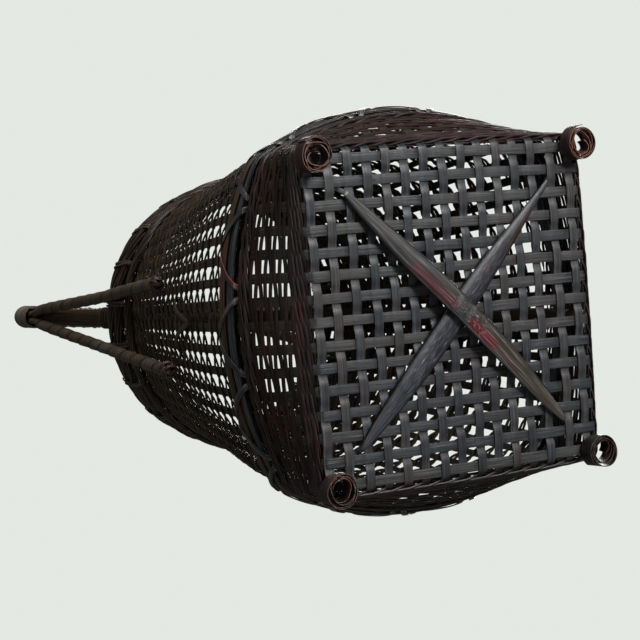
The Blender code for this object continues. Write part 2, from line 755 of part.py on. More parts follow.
def make_core_ties(material):
    """Loop of strip at each end that holds the core to three stakes of the wall."""
    height = upper_strand_start() + UPPER_STRAND_RISE * CORE_TIE_RISE_SHARE
    margin = CLEARANCE + WEAVE_EASE + LASHING_THICKNESS / 2
    outside = STAKE_FACE + WEAVE_EASE + LASHING_THICKNESS / 2
    gap = 1 / STRIPS_EACH_WAY
    for name, end_turn in (("core_tie_near", NEAR_TURN_SHARE), ("core_tie_far", FAR_TURN_SHARE)):
        middle = tie_turn(end_turn, height)
        core = beside_handle(end_turn, height, -(CORE_STAND_OFF + CORE_THICKNESS / 2), 0)
        point, along, upward, outward = wall_frame(middle, height)
        aside = along * (CORE_WIDTH / 2 + margin)
        shallow = outward * (CORE_THICKNESS / 2 + WEAVE_EASE)
        deep = -outward * (CORE_THICKNESS / 2 + margin)
        points = [wall_offset(middle + step * gap, height, outside) for step in TIE_STEP_SHARES]
        points.append(wall_offset(middle + TIE_PASSAGE_SHARE * gap, height, 0))
        points.append(core + aside + shallow)
        points.append(core + aside + deep)
        points.append(core - aside + deep)
        points.append(core - aside + shallow)
        points.append(wall_offset(middle - TIE_PASSAGE_SHARE * gap, height, 0))
        sides = [upward] * len(points)
        sizes = [(CORE_TIE_WIDTH / 2, LASHING_THICKNESS / 2)] * len(points)
        rings = sweep(points, sides, sizes, FLAT_SECTION_SHARES, closed=True)
        skin(name, rings, material, closed=True)


def make_knot(name, foot, axis, across, material):
    """Tangle of strip at the foot of a side rod, wound outward turn by turn."""
    steps = KNOT_STEPS
    count = round(KNOT_TURNS * steps)
    inner = KNOT_STRIP_WIDTH / 2
    outer = (KNOT_SIZE - LASHING_THICKNESS) / 2
    third = axis.cross(across)
    points = []
    for index in range(count + 1):
        around = 2 * math.pi * index / steps
        radius = inner + (outer - inner) * index / count
        rise = (KNOT_SIZE - KNOT_STRIP_WIDTH) / 2 * math.sin(around * KNOT_WEAVE_SHARE)
        turned = across * math.cos(around) + third * math.sin(around)
        points.append(foot + turned * radius + axis * rise)
    sides = [axis] * len(points)
    sizes = [(KNOT_STRIP_WIDTH / 2, LASHING_THICKNESS / 2)] * len(points)
    rings = sweep(points, sides, sizes, FLAT_SECTION_SHARES)
    report_least_gap(name, points, steps, LASHING_THICKNESS)
    skin(name, rings, material)


def make_knots(material):
    """Knot under each end of both side rods."""
    for label, hand in (("front", -1), ("back", 1)):
        for end, middle in (("near", NEAR_TURN_SHARE), ("far", FAR_TURN_SHARE)):
            stations = rod_leg(middle, hand)
            foot = stations[0][0]
            axis = (stations[1][0] - foot).normalized()
            centre = foot - axis * (KNOT_SIZE / 2 + CLEARANCE)
            across = axis.cross(Vector((0, 1, 0))).normalized()
            make_knot(f"knot_{label}_{end}", centre, axis, across, material)


def brace_places():
    """Distances from the middle at which a bar leaves the mat's underside and comes out above."""
    second = BASE_WIDTH / 2 - BRACE_END_SHARE * STRIP_PITCH
    third = second - STRIP_PITCH
    half = BRACE_TIP_WIDTH / 2
    leave = math.sqrt(2) * (third + STRIP_WIDTH / 2) + half
    arrive = math.sqrt(2) * (second - STRIP_WIDTH / 2) - half
    end = math.sqrt(2) * (second + STRIP_WIDTH / 2)
    return leave, arrive, end


def brace_half_sizes(distance):
    """Half width and half thickness of a tapered bar at a distance from its middle."""
    leave, arrive, end = brace_places()
    share = min(distance / leave, 1) ** BRACE_TAPER_SHARE
    width = BRACE_WIDTH + (BRACE_TIP_WIDTH - BRACE_WIDTH) * share
    thickness = BRACE_THICKNESS + (BRACE_TIP_THICKNESS - BRACE_THICKNESS) * share
    return width / 2, thickness / 2


def make_brace(name, direction, bow, material):
    """Tapered half-round bar under the mat, with both tips pushed up through it."""
    leave, arrive, end = brace_places()
    half_run = []
    for index in range(BRACE_STEPS + 1):
        distance = leave * index / BRACE_STEPS
        half_width, half_thickness = brace_half_sizes(distance)
        sink = bow * math.cos(math.pi / 2 * index / BRACE_STEPS) ** 2
        half_run.append((distance, -(MAT_FACE + WEAVE_EASE + sink + half_thickness)))
    tip_height = MAT_FACE + WEAVE_EASE + BRACE_TIP_THICKNESS / 2
    half_run.append((arrive, tip_height))
    half_run.append((end, tip_height))
    run = [(-distance, height) for distance, height in reversed(half_run)] + half_run[1:]
    points = [direction * distance + Vector((0, 0, MAT_LEVEL + height)) for distance, height in run]
    sides = [direction.cross(Vector((0, 0, 1)))] * len(points)
    sizes = [brace_half_sizes(abs(distance)) for distance, height in run]
    rings = sweep(points, sides, sizes, HALF_ROUND_SECTION_SHARES)
    skin(name, rings, material, smooth=True)


def make_braces(material):
    """Crossed bars that stiffen the base, the outer one bowed over the inner one."""
    bow = (BRACE_THICKNESS + CLEARANCE) * BRACE_BOW_SHARE
    make_brace("base_bar_inner", Vector((1, -1, 0)).normalized(), 0, material)
    make_brace("base_bar_outer", Vector((1, 1, 0)).normalized(), bow, material)


def make_foot(name, sign_x, sign_y, material):
    """Strip rolled up like a scroll that stands on its edge under a corner."""
    reach = BASE_WIDTH / 2 - FOOT_INSET
    centre = Vector((sign_x * reach, sign_y * reach, FOOT_LENGTH / 2))
    steps = FOOT_STEPS
    count = round(FOOT_ROLL_TURNS * steps)
    pitch = FOOT_STRIP_THICKNESS + FOOT_ROLL_GAP
    outer = FOOT_RADIUS - FOOT_STRIP_THICKNESS / 2
    start = math.atan2(sign_y, sign_x)
    points = []
    for index in range(count + 1):
        around = start + sign_x * sign_y * 2 * math.pi * index / steps
        radius = outer - pitch * (count - index) / steps
        points.append(centre + Vector((math.cos(around), math.sin(around), 0)) * radius)
    sides = [Vector((0, 0, 1))] * len(points)
    sizes = [(FOOT_LENGTH / 2, FOOT_STRIP_THICKNESS / 2)] * len(points)
    rings = sweep(points, sides, sizes, FLAT_SECTION_SHARES)
    report_least_gap(name, points, steps, FOOT_STRIP_THICKNESS)
    skin(name, rings, material, smooth=True)


def make_feet(material):
    """Rolled foot under each corner of the base."""
    for name, sign_x, sign_y in (
        ("foot_front_left", -1, -1),
        ("foot_front_right", 1, -1),
        ("foot_back_right", 1, 1),
        ("foot_back_left", -1, 1),
    ):
        make_foot(name, sign_x, sign_y, material)


def clear_scene():
    """Remove every object that the scene starts with."""
    for item in list(bpy.data.objects):
        bpy.data.objects.remove(item, do_unlink=True)


def main():
    """Build the whole basket."""
    clear_scene()
    blue_black = make_material("blue-black bamboo strip", (0.045, 0.048, 0.054), 0.4)
    red_black = make_material("red-black bamboo strand", (0.035, 0.02, 0.017), 0.45)
    brown = make_material("brown hoop bamboo", (0.07, 0.05, 0.035), 0.42)
    bow_brown = make_material("smooth brown bow bamboo", (0.085, 0.05, 0.032), 0.38)
    olive = make_material("olive-grey wrapping strip", (0.13, 0.12, 0.095), 0.5)
    rust = make_material("rust-brown knotted strip", (0.1, 0.035, 0.02), 0.55)
    copper = make_material("copper-brown rolled strip", (0.12, 0.06, 0.04), 0.4)
    bar_red = make_material("dark red split bamboo bar", (0.055, 0.03, 0.03), 0.35)
    make_strips(blue_black)
    make_weavers(red_black)
    make_shoulder_hoops(brown)
    make_shoulder_lashing(red_black)
    make_rim(red_black)
    make_rim_lashing(olive)
    make_core(bow_brown)
    make_rods(olive)
    make_top_binding(olive)
    make_core_bindings(olive)
    make_core_ties(olive)
    make_knots(rust)
    make_braces(bar_red)
    make_feet(copper)


main()
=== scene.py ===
"""Ikebana basket of dark split bamboo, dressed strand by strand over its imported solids.

Lengths are metres, +Z is up, and the basket stands on its rolled feet at the origin. A place on
the wall is given by a turn and a height: the turn counts sides of the basket from the corner at
-X, -Y, going round by +X, +Y and -X, and the height is taken from the middle of the base mat.
"""
import math

import bpy
import numpy as np
from bpy.props import FloatProperty, FloatVectorProperty, IntProperty, PointerProperty
from mathutils import Matrix


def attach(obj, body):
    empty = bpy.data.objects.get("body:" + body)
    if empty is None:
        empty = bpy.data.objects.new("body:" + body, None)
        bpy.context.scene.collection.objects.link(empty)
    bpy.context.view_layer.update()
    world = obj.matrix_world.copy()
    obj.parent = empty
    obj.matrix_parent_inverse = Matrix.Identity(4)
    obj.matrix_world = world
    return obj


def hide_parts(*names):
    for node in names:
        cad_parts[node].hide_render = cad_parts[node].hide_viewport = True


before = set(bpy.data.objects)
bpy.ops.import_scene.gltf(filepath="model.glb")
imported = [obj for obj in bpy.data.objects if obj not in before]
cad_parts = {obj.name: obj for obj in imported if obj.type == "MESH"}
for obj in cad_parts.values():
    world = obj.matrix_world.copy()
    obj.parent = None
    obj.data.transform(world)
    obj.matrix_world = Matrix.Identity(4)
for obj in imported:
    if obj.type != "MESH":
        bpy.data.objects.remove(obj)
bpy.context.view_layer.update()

bl_info = {
    "name": "Ikebana Basket",
    "version": (1, 0, 0),
    "blender": (4, 5, 0),
    "location": "View3D > Sidebar > Basket",
    "description": "Plaits, weaves, lashes and lights a handled flower basket of split bamboo",
    "category": "Add Mesh",
}

# Base mat and wall, as in the solids
BASE_WIDTH = 0.200
STRIPS_EACH_WAY = 15
STAKES = 4 * STRIPS_EACH_WAY
PITCH = BASE_WIDTH / STRIPS_EACH_WAY
FOLD_RADIUS = 0.003
MAT_LEVEL = 0.0116715
WALL_HEIGHT = 0.298
# Height, half width, roundness and share of the strip width at each level of the wall
HALF_WIDTH, ROUNDNESS, STRIP_SHARE = 1, 2, 3
LEVELS = np.array((
    (0.0, 0.1, 0.0, 1.0),
    (0.0279, 0.11568, 0.4464, 1.0),
    (0.0558, 0.1224, 0.72, 0.95),
    (0.099396, 0.118926, 0.8208, 0.9),
    (0.18901, 0.1031, 0.9496, 0.78),
    (0.298, 0.0838, 1.0, 0.62),
))
CORNER_EASE = 0.022

# Plaiting: how far a strip swings over and under, and how far each strip along X or along Y
# lies off the even spacing in the photograph, with the shift of all the others
MAT_SWING = 0.0005
LAYING_ERROR = 0.00025
STATIONS_PER_STRIP = 8
STRIP_SHIFTS = {
    "x": ({0: -0.0012, 1: -0.0004, 13: 0.001, 14: 0.0012}, 0.0),
    "y": ({13: -0.0018, 14: -0.0008}, -0.003),
}
STRIP_BOW = 0.00035
# Heights along a stake, and the bend by which a strip turns up into the wall
STAKE_HEIGHTS = np.concatenate((
    np.linspace(FOLD_RADIUS, 0.06, 14), np.linspace(0.066, WALL_HEIGHT - 0.0008, 34)))
FOLD_BEND = np.radians(np.linspace(0, 90, 6)[1:-1])
FOLD_REACH = FOLD_RADIUS * 1.12

# Steps of a weave, two to a stake: how far out the strand lies and how high, as shares
TWINED = ((1, 0), (0, 1), (-1, 0), (0, -1))
TWILL = ((-1, -0.5), (0, -1), (1, 0), (1, 0), (1, 0), (0, 0))
WALE = ((1, -0.5), (1, 0), (1, 0.5), (0, 1), (-1, 0), (0, -1))
WEAVE_STEPS = 2
WOBBLE_WAVES = 5
RING_STATIONS = 240

# Upper wall: height of row 0, the rise to row 1 and how the rise shrinks from row to row, and
# the heights of the close rows below the rim
UPPER_START, UPPER_RISE, UPPER_CLOSING = 0.0758, 0.0114, 0.0000816
CLOSE_ROWS = (0.2515, 0.2583, 0.2622, 0.2661, 0.27)
# Its strands: how far they swing, their lift and thickness at the shoulder and what both gain up
# to the rim, and lift, width and thickness in the close rows
FINE_SWING = 0.0011
FINE_LIFT, FINE_LIFT_GAIN = 0.0013, 0.001
FINE_THICKNESS, FINE_THICKNESS_GAIN = 0.0009, 0.0007
FINE_WIDENING = 1.3
CLOSE_LIFT, CLOSE_WIDTH, CLOSE_THICKNESS = 0.0019, 0.0031, 0.0014
FINE_DRIFT, CLOSE_DRIFT = 0.001, 0.0004

# Lower wall: heights and widths of its rows, and height, lift and width of each border
TWILL_HEIGHTS = (0.0113, 0.0145, 0.0174, 0.0204, 0.0237, 0.0269, 0.0306, 0.0344, 0.0382)
TWILL_WIDTHS = (0.0026, 0.0026, 0.0025, 0.0025, 0.0026, 0.0027, 0.0029, 0.003, 0.0032)
BORDERS = (
    (0.0038, 0.0012, 0.0022), (0.0062, 0.0013, 0.0022), (0.0086, 0.0013, 0.0022),
    (0.0414, 0.0016, 0.0026), (0.0452, 0.0017, 0.0029),
)
TWILL_SWING, TWILL_LIFT, TWILL_THICKNESS = 0.00045, 0.00055, 0.0008
BORDER_STRANDS, BORDER_SWING, BORDER_THICKNESS = 3, 0.0014, 0.0013
TWILL_DRIFT, BORDER_DRIFT = 0.0002, 0.0003
# Height, distance off the wall, width and thickness of the strip inside the foot of the wall
FOOT_STRIP = (0.0026, -0.0017, 0.0036, 0.0008)

# Shoulder hoops: height, distance off the wall, width and thickness
FLAT_HOOP = (0.0536, 0.0022, 0.0076, 0.0023)
FLAT_HOOP_BACKING = (0.056, -0.0022, 0.0076, 0.0014)
ROUND_HOOP = (0.0612, 0.0028, 0.0066, 0.0036)

# Shoulder lashing: steps along in stakes, height and distance off the wall, down one crossing,
# at its lowest point and back up inside
LASHINGS = 16
LASHING_START = 1.5
LASHING_WIDTH, LASHING_THICKNESS = 0.0036, 0.0008
LASHING_ARM = (
    (-1.86, 0.0662, 0.0002), (-1.7, 0.0655, 0.0034), (-1.45, 0.0634, 0.005),
    (-1.0, 0.0585, 0.005), (-0.5, 0.0516, 0.0041), (-0.3, 0.0482, 0.0028),
    (-0.2, 0.0466, -0.0002), (-0.15, 0.0462, -0.0016),
)
LASHING_FOOT = (0.0, 0.0448, -0.0018)
LASHING_INSIDE = ((1.5, 0.066, -0.0022), (0.0, 0.0656, -0.0026), (-1.5, 0.066, -0.0022))

# Rim: bundles, hoop and collar, and height and distance off the wall round one of the ties
UPPER_BUNDLE, LOWER_BUNDLE, COLLAR = 0.2926, 0.2762, 0.2543
BUNDLE_STRANDS, COLLAR_STRANDS = 7, 5
# Distance off the wall, width and thickness of a strand, and waves and radius of its twist
BUNDLE_SIZES, BUNDLE_TWIST = (0.0034, 0.0029, 0.0019), (6, 0.0043)
COLLAR_SIZES, COLLAR_TWIST = (0.0034, 0.0042, 0.0021), (9, 0.0024)
BUNDLE_DRIFT, COLLAR_SWAY = 0.0005, 0.0018
INNER_HOOPS, INNER_HOOP_SIZES = (0.2868, 0.2932), (-0.0021, 0.0062, 0.002)
RIM_TIES = 20
RIM_TIE_WIDTH, RIM_TIE_THICKNESS, RIM_TIE_SPACING = 0.0016, 0.0008, 0.0019
RIM_TIE_MIDDLE, RIM_TIE_REACH = 0.283, 0.017
RIM_SIDE = 0.1316
RIM_TIE_STATIONS = (
    (0.2835, 0.0066), (0.2975, 0.0064), (0.3006, 0.0024), (0.2998, -0.0026), (0.288, -0.0042),
    (0.2672, -0.0022), (0.2662, 0.0012), (0.2672, 0.005), (0.275, 0.0066),
)

# Line of the handle, as in the solids, and the turns of the wall at its -X and +X ends
HANDLE_HEIGHT = 0.540
HANDLE_CROWN = 0.100
HANDLE_HALF_SPAN = 0.078
HANDLE_SHIFT = 0.0062
HANDLE_SKEW = 0.0063
HANDLE_LEAN = 0.0068
NEAR = 3.5
FAR = 1.5
CORE_INSET = 0.0102
CORE_HEIGHTS = (0.0022, 0.0279, 0.0558, 0.099396, 0.14, 0.18901, 0.245, WALL_HEIGHT)
SPRING_HEIGHT = 0.345
NECK_HEIGHT = 0.4045
FORK_HEIGHT = 0.420
CROWN_ANGLES = np.radians(np.linspace(0, 180, 15))
# The far half of the crown sways towards +Y, from this angle on, so the bow hides it
CROWN_SWAY = 0.0020
SWAY_START = 0.9

# Bow: its widths and thicknesses from the mat to the crown
BOW_STEPS = 8
BOW_WIDTHS = (0.0125, 0.0134, 0.012, 0.008)
BOW_THICKNESSES = (0.008, 0.008, 0.006, 0.0044)

# Side rods: spread at the rim, spread at the knot and height of the knot, at -Y and at +Y
ROD_PLACES = {-1: (0.0118, 0.0213, 0.170), 1: (0.0188, 0.0312, 0.161)}
# Distance off the wall at the knot, the collar and the rim
ROD_STAND_OFFS = (0.0088, 0.0108, 0.0118)
COLLAR_HEIGHT = 0.25425
KNOT_REACH = 0.0054
KNOT_DROP = 0.0052
FORK_SPREAD = 0.0066
FORK_STAND_OFF = 0.0066
# How much closer to the bow the rod at +X, -Y lies, which the bow hides in the photograph
FAR_NARROWING = 0.0034
ROD_CROWN_LIFT = 0.005
ROD_CROWN_SPREAD = 0.0029
ROD_CROWN_SHARE = 0.61
ROD_STEPS = 10
ROD_STATION_STEP = 0.0011
FIBRE_SLANT = -0.95
# A turn of the wrapping: radius share where it starts, how much it rises to where it laps over
# the next, and how much that edge is rounded off and over which share of the turn
LAP_START, LAP_RISE, LAP_ROUNDING, LAP_EDGE = 0.93, 0.16, 0.04, 0.07

# Winding over the crown: pitch, radius, first turn and strip width of both layers
WINDING_LAYERS = ((0.0046, 0.0081, 0.0, 0.0042), (0.0093, 0.0086, 0.37, 0.0024))
WINDING_LIFT = 0.0026
WINDING_STEPS = 22
WINDING_MARGIN = 0.0008
WINDING_ANGLES = np.radians(np.linspace(3, 177, 160))
WINDING_THICKNESS, WINDING_RIPPLE, WINDING_SQUASH = 0.0009, 0.00012, -0.0004

# Rings on the bow, above the rim
RINGS = 5
RING_LIFT = 0.0185
RING_PITCH = 0.0040
RING_RADII = (0.0048, 0.0074)
RING_WIDTH, RING_THICKNESS, RING_RIPPLE = 0.0028, 0.001, 0.0004

# Tie: steps along in stakes, height and distance off the wall, and where it passes the bow
TIE_PLACES = (
    (-1.45, 0.152, -0.001), (-1.3, 0.148, 0.0018), (-0.92, 0.147, 0.0036),
    (-0.51, 0.143, 0.0037), (-0.13, 0.132, 0.0036), (0.21, 0.118, 0.0035),
    (0.45, 0.127, 0.0036), (0.81, 0.139, 0.0036), (1.33, 0.149, 0.0018), (1.48, 0.153, -0.001),
)
# Inside the wall: steps along the wall and outward from the middle of the bow
TIE_INSIDE = ((0.0074, 0.002), (0.005, -0.0052), (-0.005, -0.0052), (-0.0074, 0.002))
TIE_LEVEL = 0.17
TIE_CORE_LEVEL = 0.155
TIE_WIDTH, TIE_THICKNESS = 0.0036, 0.0009
TIE_STEPS = 6

# Knots: loops, their radii and widths from least to greatest, thickness, scatter and ripple
KNOT_LOOPS = 8
KNOT_RADII, KNOT_WIDTHS = (0.0034, 0.0049), (0.0016, 0.0026)
KNOT_THICKNESS, KNOT_SCATTER, KNOT_RIPPLE = 0.0009, 0.0006, 0.0009

# Crossed bars: where their ends turn up, come through the mat and stop, measured from the
# middle, and their width as a share of its greatest from the -X tip to the +X tip
BAR_LEAVE, BAR_ARRIVE, BAR_END = 0.1045, 0.1083, 0.1175
BAR_PLACES = (
    -0.1045, -0.092, -0.075, -0.05, -0.02, 0.0, 0.017, 0.042, 0.058, 0.075, 0.092, 0.1045,
)
BAR_SHARES = {
    "outer": (0.25, 0.48, 0.66, 0.93, 1.0, 1.0, 1.0, 0.92, 0.84, 0.72, 0.51, 0.25),
    "inner": (0.25, 0.52, 0.72, 0.97, 1.03, 1.05, 1.0, 0.84, 0.67, 0.47, 0.29, 0.22),
}
OUTER_BAR_BOW = 0.0041
# Gap between the mat's middle and the bars, stations and levels of their tips, and how thick
# they are in the middle, at a place further out and where they turn up
BAR_GAP = 0.0021
BAR_TIP_STATIONS = (0.1058, 0.107, BAR_ARRIVE, 0.112, BAR_END)
BAR_TIP_LEVELS = (-0.0026, 0.0026, 0.0026)
BAR_SHAVED = 0.06
BAR_THICKNESSES = (0.0042, 0.0036, 0.0012)
BAR_SWAY = 0.0005
# Red lacquer from one place to another along a bar and how much, and tones at two places
BAR_PATCHES = {
    "outer": ((0.006, 0.032, 0.9), (-0.045, -0.005, 0.6)), "inner": ((0.052, 0.08, 1.0),),
}
# Tones along each bar: on the outer bar they bring in its second colour, on the inner bar they are
# painted light, lighter towards -X and darker towards +X.
BAR_TONES_AND_LIGHT = {"outer": ((-0.01, 0.02), (0.45, 0.95)), "inner": ((-0.08, 0.06), (1.0, 0.1))}
BAR_EDGE_RED = 0.45
# Node scar of the outer bar: place, reach and height of its ridge and of the hollow beside it,
# and the dark patch round them
SCAR_BUMPS = ((-0.001, 0.0028, 0.0006), (0.0045, 0.0016, -0.0005))
SCAR_PATCH, SCAR_DARKENING = (-0.0065, 0.0035), 0.6

# Feet: place of each one's middle, and turns, inset and curled-in end of its layers
FOOT_LENGTH = 0.0098
FOOT_PLACE = 0.096
FOOT_LAYERS = ((1.75, 0.0006, 0.0), (1.3, 0.0022, 0.0), (1.15, 0.0038, 0.3))
# How much a layer closes in, how uneven it is, the least it stays inside the foot's radius, the
# turn and the narrowing from one layer to the next, and start, span and depth of a curled-in end
FOOT_CLOSING, INNER_CLOSING = 0.0024, 0.7
FOOT_UNEVENNESS = 0.0011
FOOT_MARGIN = 0.0005
LAYER_TURN, LAYER_NARROWING, LAYER_RIPPLE = 2.1, 0.0007, 0.0006
CURL_START, CURL_SPAN, CURL_DEPTH = 0.86, 0.14, 0.62
ROLL_THICKNESS = 0.0007

# Camera of the photograph, and place, aim, size and power of each light
CAMERA_PLACE = (-0.690, -0.0462, -0.97173)
CAMERA_RIGHT, CAMERA_UP = (0.8519, 0.0756, -0.5183), (0.0846, -0.9964, -0.0063)
CAMERA_BACK = (-0.5169, -0.0385, -0.8552)
CAMERA_LENS, CAMERA_SENSOR = 112.5, 36
LIGHTS = {
    "key window": ((0.62, -1.16, -1.5), (0, 0, 0.1), 0.9, 44),
    "sky window": ((1.5, -0.2, 1.7), (0, 0, 0.25), 1.4, 40),
    "ceiling window": ((-0.5, -1.9, 0.25), (0, 0, 0.15), 1.2, 25),
    "side glint": ((-1.6, -0.3, -0.7), (0, 0, 0.05), 0.25, 3),
    "bounce": ((-0.1, 1.5, -1.0), (0, 0, 0.06), 1.0, 5),
}

# Tints that several materials share
GREY = (0.16, 0.175, 0.2)
TAN = (0.16, 0.105, 0.05)
OLIVE = (0.026, 0.026, 0.026)
OLIVE_BROWN = (0.034, 0.024, 0.010)
PLUM = (0.018, 0.010, 0.014)
CRIMSON = (0.11, 0.014, 0.02)

ROOT = "root"


def length(name, description, default, low, high):
    """A length that a user may change."""
    return FloatProperty(name=name, description=description, default=default, min=low, max=high,
                         unit="LENGTH")


def paint(name, description, default):
    """A colour that a user may change."""
    return FloatVectorProperty(name=name, description=description, default=default, min=0, max=1,
                               subtype="COLOR", size=3)


class BasketSizes(bpy.types.PropertyGroup):
    """Sizes of the strips and strands that the basket is made of."""

    strip_width: length("Strip width", "Width of a strip across the base", 0.0062, 0.003, 0.01)
    strip_thickness: length("Strip thickness", "Thickness of a strip", 0.0006, 0.0004, 0.002)
    weaver_width: length("Weaver width", "Height of each fine strand of the upper wall",
                         0.0021, 0.001, 0.005)
    weaver_rows: IntProperty(
        name="Weaver rows", description="Rows of twined pairs between shoulder and rim",
        default=18, min=4, max=24)
    rod_diameter: length("Rod diameter", "Diameter of a wrapped side rod", 0.0081, 0.004, 0.012)
    wrap_pitch: length("Wrap pitch", "Distance from one turn of a rod's wrapping to the next",
                       0.0225, 0.004, 0.03)
    bar_width: length("Bar width", "Width of a crossed bar at its middle", 0.0146, 0.006, 0.016)
    foot_radius: length("Foot radius", "Outer radius of a rolled foot", 0.0113, 0.006, 0.015)


class BasketColours(bpy.types.PropertyGroup):
    """Colours of the lacquered bamboo."""

    # One strip runs from the mat into the wall: it is painted lighter and cooler in the mat,
    # painted light, and darker and browner in the wall, painted shade.
    mat: paint("Base strips", "Blue-black lacquer of the base strips", (0.027, 0.031, 0.037))
    stake: paint("Stakes", "Brown-black lacquer of the strips in the wall", (0.016, 0.010, 0.006))
    weaver: paint("Weavers", "Brown-black lacquer of the woven strands", (0.020, 0.012, 0.006))
    red: paint("Red lacquer", "Dark red that shows where the lacquer is thin",
               (0.085, 0.018, 0.014))
    wrap: paint("Wrapping", "Olive-grey strip wound on the handle", (0.085, 0.072, 0.052))
    bow: paint("Bow", "Smooth brown bamboo of the handle's core", (0.030, 0.017, 0.007))
    knot: paint("Knots", "Rust-brown strip of the knots", (0.09, 0.032, 0.016))
    copper: paint("Feet", "Copper-brown cut edges of the rolled feet", (0.22, 0.075, 0.04))
    stage: paint("Stage", "Pale paint of the floor", (0.78, 0.78, 0.76))


def colours():
    """The basket's colours."""
    return bpy.context.scene.basket_colours


def sizes():
    """The basket's sizes."""
    return bpy.context.scene.basket_sizes


def level_slopes(values):
    """Slopes of a smooth curve through the wall's levels that never overshoots them."""
    steps = np.diff(LEVELS[:, 0])
    rises = np.diff(values) / steps
    slopes = np.zeros(len(values))
    slopes[0], slopes[-1] = rises[0], rises[-1]
    for index in range(1, len(values) - 1):
        low, high = rises[index - 1], rises[index]
        if low * high > 0:
            first = 2 * steps[index] + steps[index - 1]
            second = steps[index] + 2 * steps[index - 1]
            slopes[index] = (first + second) / (first / low + second / high)
    return slopes


LEVEL_SLOPES = [level_slopes(LEVELS[:, column]) for column in range(4)]


def level_value(height, column):
    """Value of one column of the wall's levels at a height."""
    height = np.clip(height, 0, WALL_HEIGHT)
    knots = LEVELS[:, 0]
    index = np.clip(np.searchsorted(knots, height) - 1, 0, len(knots) - 2)
    step = knots[index + 1] - knots[index]
    share = (height - knots[index]) / step
    values, slopes = LEVELS[:, column], LEVEL_SLOPES[column]
    rest = 1 - share
    return (
        values[index] * (1 + 2 * share) * rest ** 2 + slopes[index] * step * share * rest ** 2
        + values[index + 1] * share ** 2 * (3 - 2 * share)
        - slopes[index + 1] * step * share ** 2 * rest
    )


def outline(turn, roundness):
    """Unit outline between a square and a circle, shape (n, 2)."""
    side = np.floor(turn).astype(int) % 4
    along = 2 * (turn - np.floor(turn)) - 1
    one = np.ones_like(along)
    square = np.stack((
        np.choose(side, (along, one, -along, -one)), np.choose(side, (-one, along, one, -along)),
    ), axis=-1)
    angle = np.radians(90 * turn - 135)
    circle = np.stack((np.cos(angle), np.sin(angle)), axis=-1)
    return square + (circle - square) * roundness[..., None]


def wall_point(turn, height):
    """Points in the middle of the wall, with its corners eased."""
    turn, height = np.broadcast_arrays(np.asarray(turn, float), np.asarray(height, float))
    roundness = level_value(height, ROUNDNESS)
    flat = (outline(turn - CORNER_EASE, roundness) + outline(turn + CORNER_EASE, roundness)
            + 2 * outline(turn, roundness)) / 4
    flat = flat * level_value(height, HALF_WIDTH)[..., None]
    return np.concatenate((flat, (MAT_LEVEL + height)[..., None]), axis=-1)


def unit(vectors):
    """Vectors made one long."""
    return vectors / np.maximum(np.linalg.norm(vectors, axis=-1, keepdims=True), 1e-12)


def wall_frame(turn, height):
    """Points of the wall with its directions along, upward and outward."""
    turn, height = np.broadcast_arrays(np.asarray(turn, float), np.asarray(height, float))
    step, rise = 0.01, 0.002
    low = np.clip(height - rise, 0, WALL_HEIGHT - 2 * rise)
    along = unit(wall_point(turn + step, height) - wall_point(turn - step, height))
    upward = unit(wall_point(turn, low + 2 * rise) - wall_point(turn, low))
    return wall_point(turn, height), along, upward, unit(np.cross(along, upward))


def off_wall(turn, height, offset):
    """Points that stand off the wall, outward where the offset is positive."""
    point, *_, outward = wall_frame(turn, height)
    return point + outward * np.broadcast_to(offset, outward.shape[:-1])[..., None]


def smooth(controls, steps, closed=False):
    """Points on a smooth curve through control points, with some steps between them."""
    controls = np.asarray(controls, float)
    if closed:
        padded = np.concatenate((controls[-1:], controls, controls[:2]))
        spans = len(controls)
    else:
        first = 2 * controls[:1] - controls[1:2]
        last = 2 * controls[-1:] - controls[-2:-1]
        padded = np.concatenate((first, controls, last))
        spans = len(controls) - 1
    runs = []
    for share in np.arange(steps) / steps:
        before, start = padded[0:spans], padded[1:spans + 1]
        end, after = padded[2:spans + 2], padded[3:spans + 3]
        runs.append(0.5 * (2 * start + (end - before) * share
                           + (2 * before - 5 * start + 4 * end - after) * share ** 2
                           + (3 * start - before - 3 * end + after) * share ** 3))
    points = np.stack(runs, axis=1).reshape((-1,) + controls.shape[1:])
    return points if closed else np.concatenate((points, controls[-1:]))


def oval(count, squareness):
    """Section of a strand from round, at 1, to nearly a rectangle, near 0."""
    angles = 2 * np.pi * (np.arange(count) + 0.5) / count
    shape = np.stack((np.cos(angles), np.sin(angles)), axis=-1)
    return np.sign(shape) * np.abs(shape) ** squareness


FLAT = oval(10, 0.42)
CROWNED = np.array((
    (-1, -0.55), (-0.6, -1), (0.6, -1), (1, -0.55), (0.98, 0.1), (0.7, 0.68), (0.28, 1), (-0.28, 1),
    (-0.7, 0.68), (-0.98, 0.1),
))
STRAND = oval(8, 0.62)
ROUND = oval(28, 1.0)
BOW_SECTION = oval(16, 0.8)
BAR_SECTION = oval(20, 0.85)


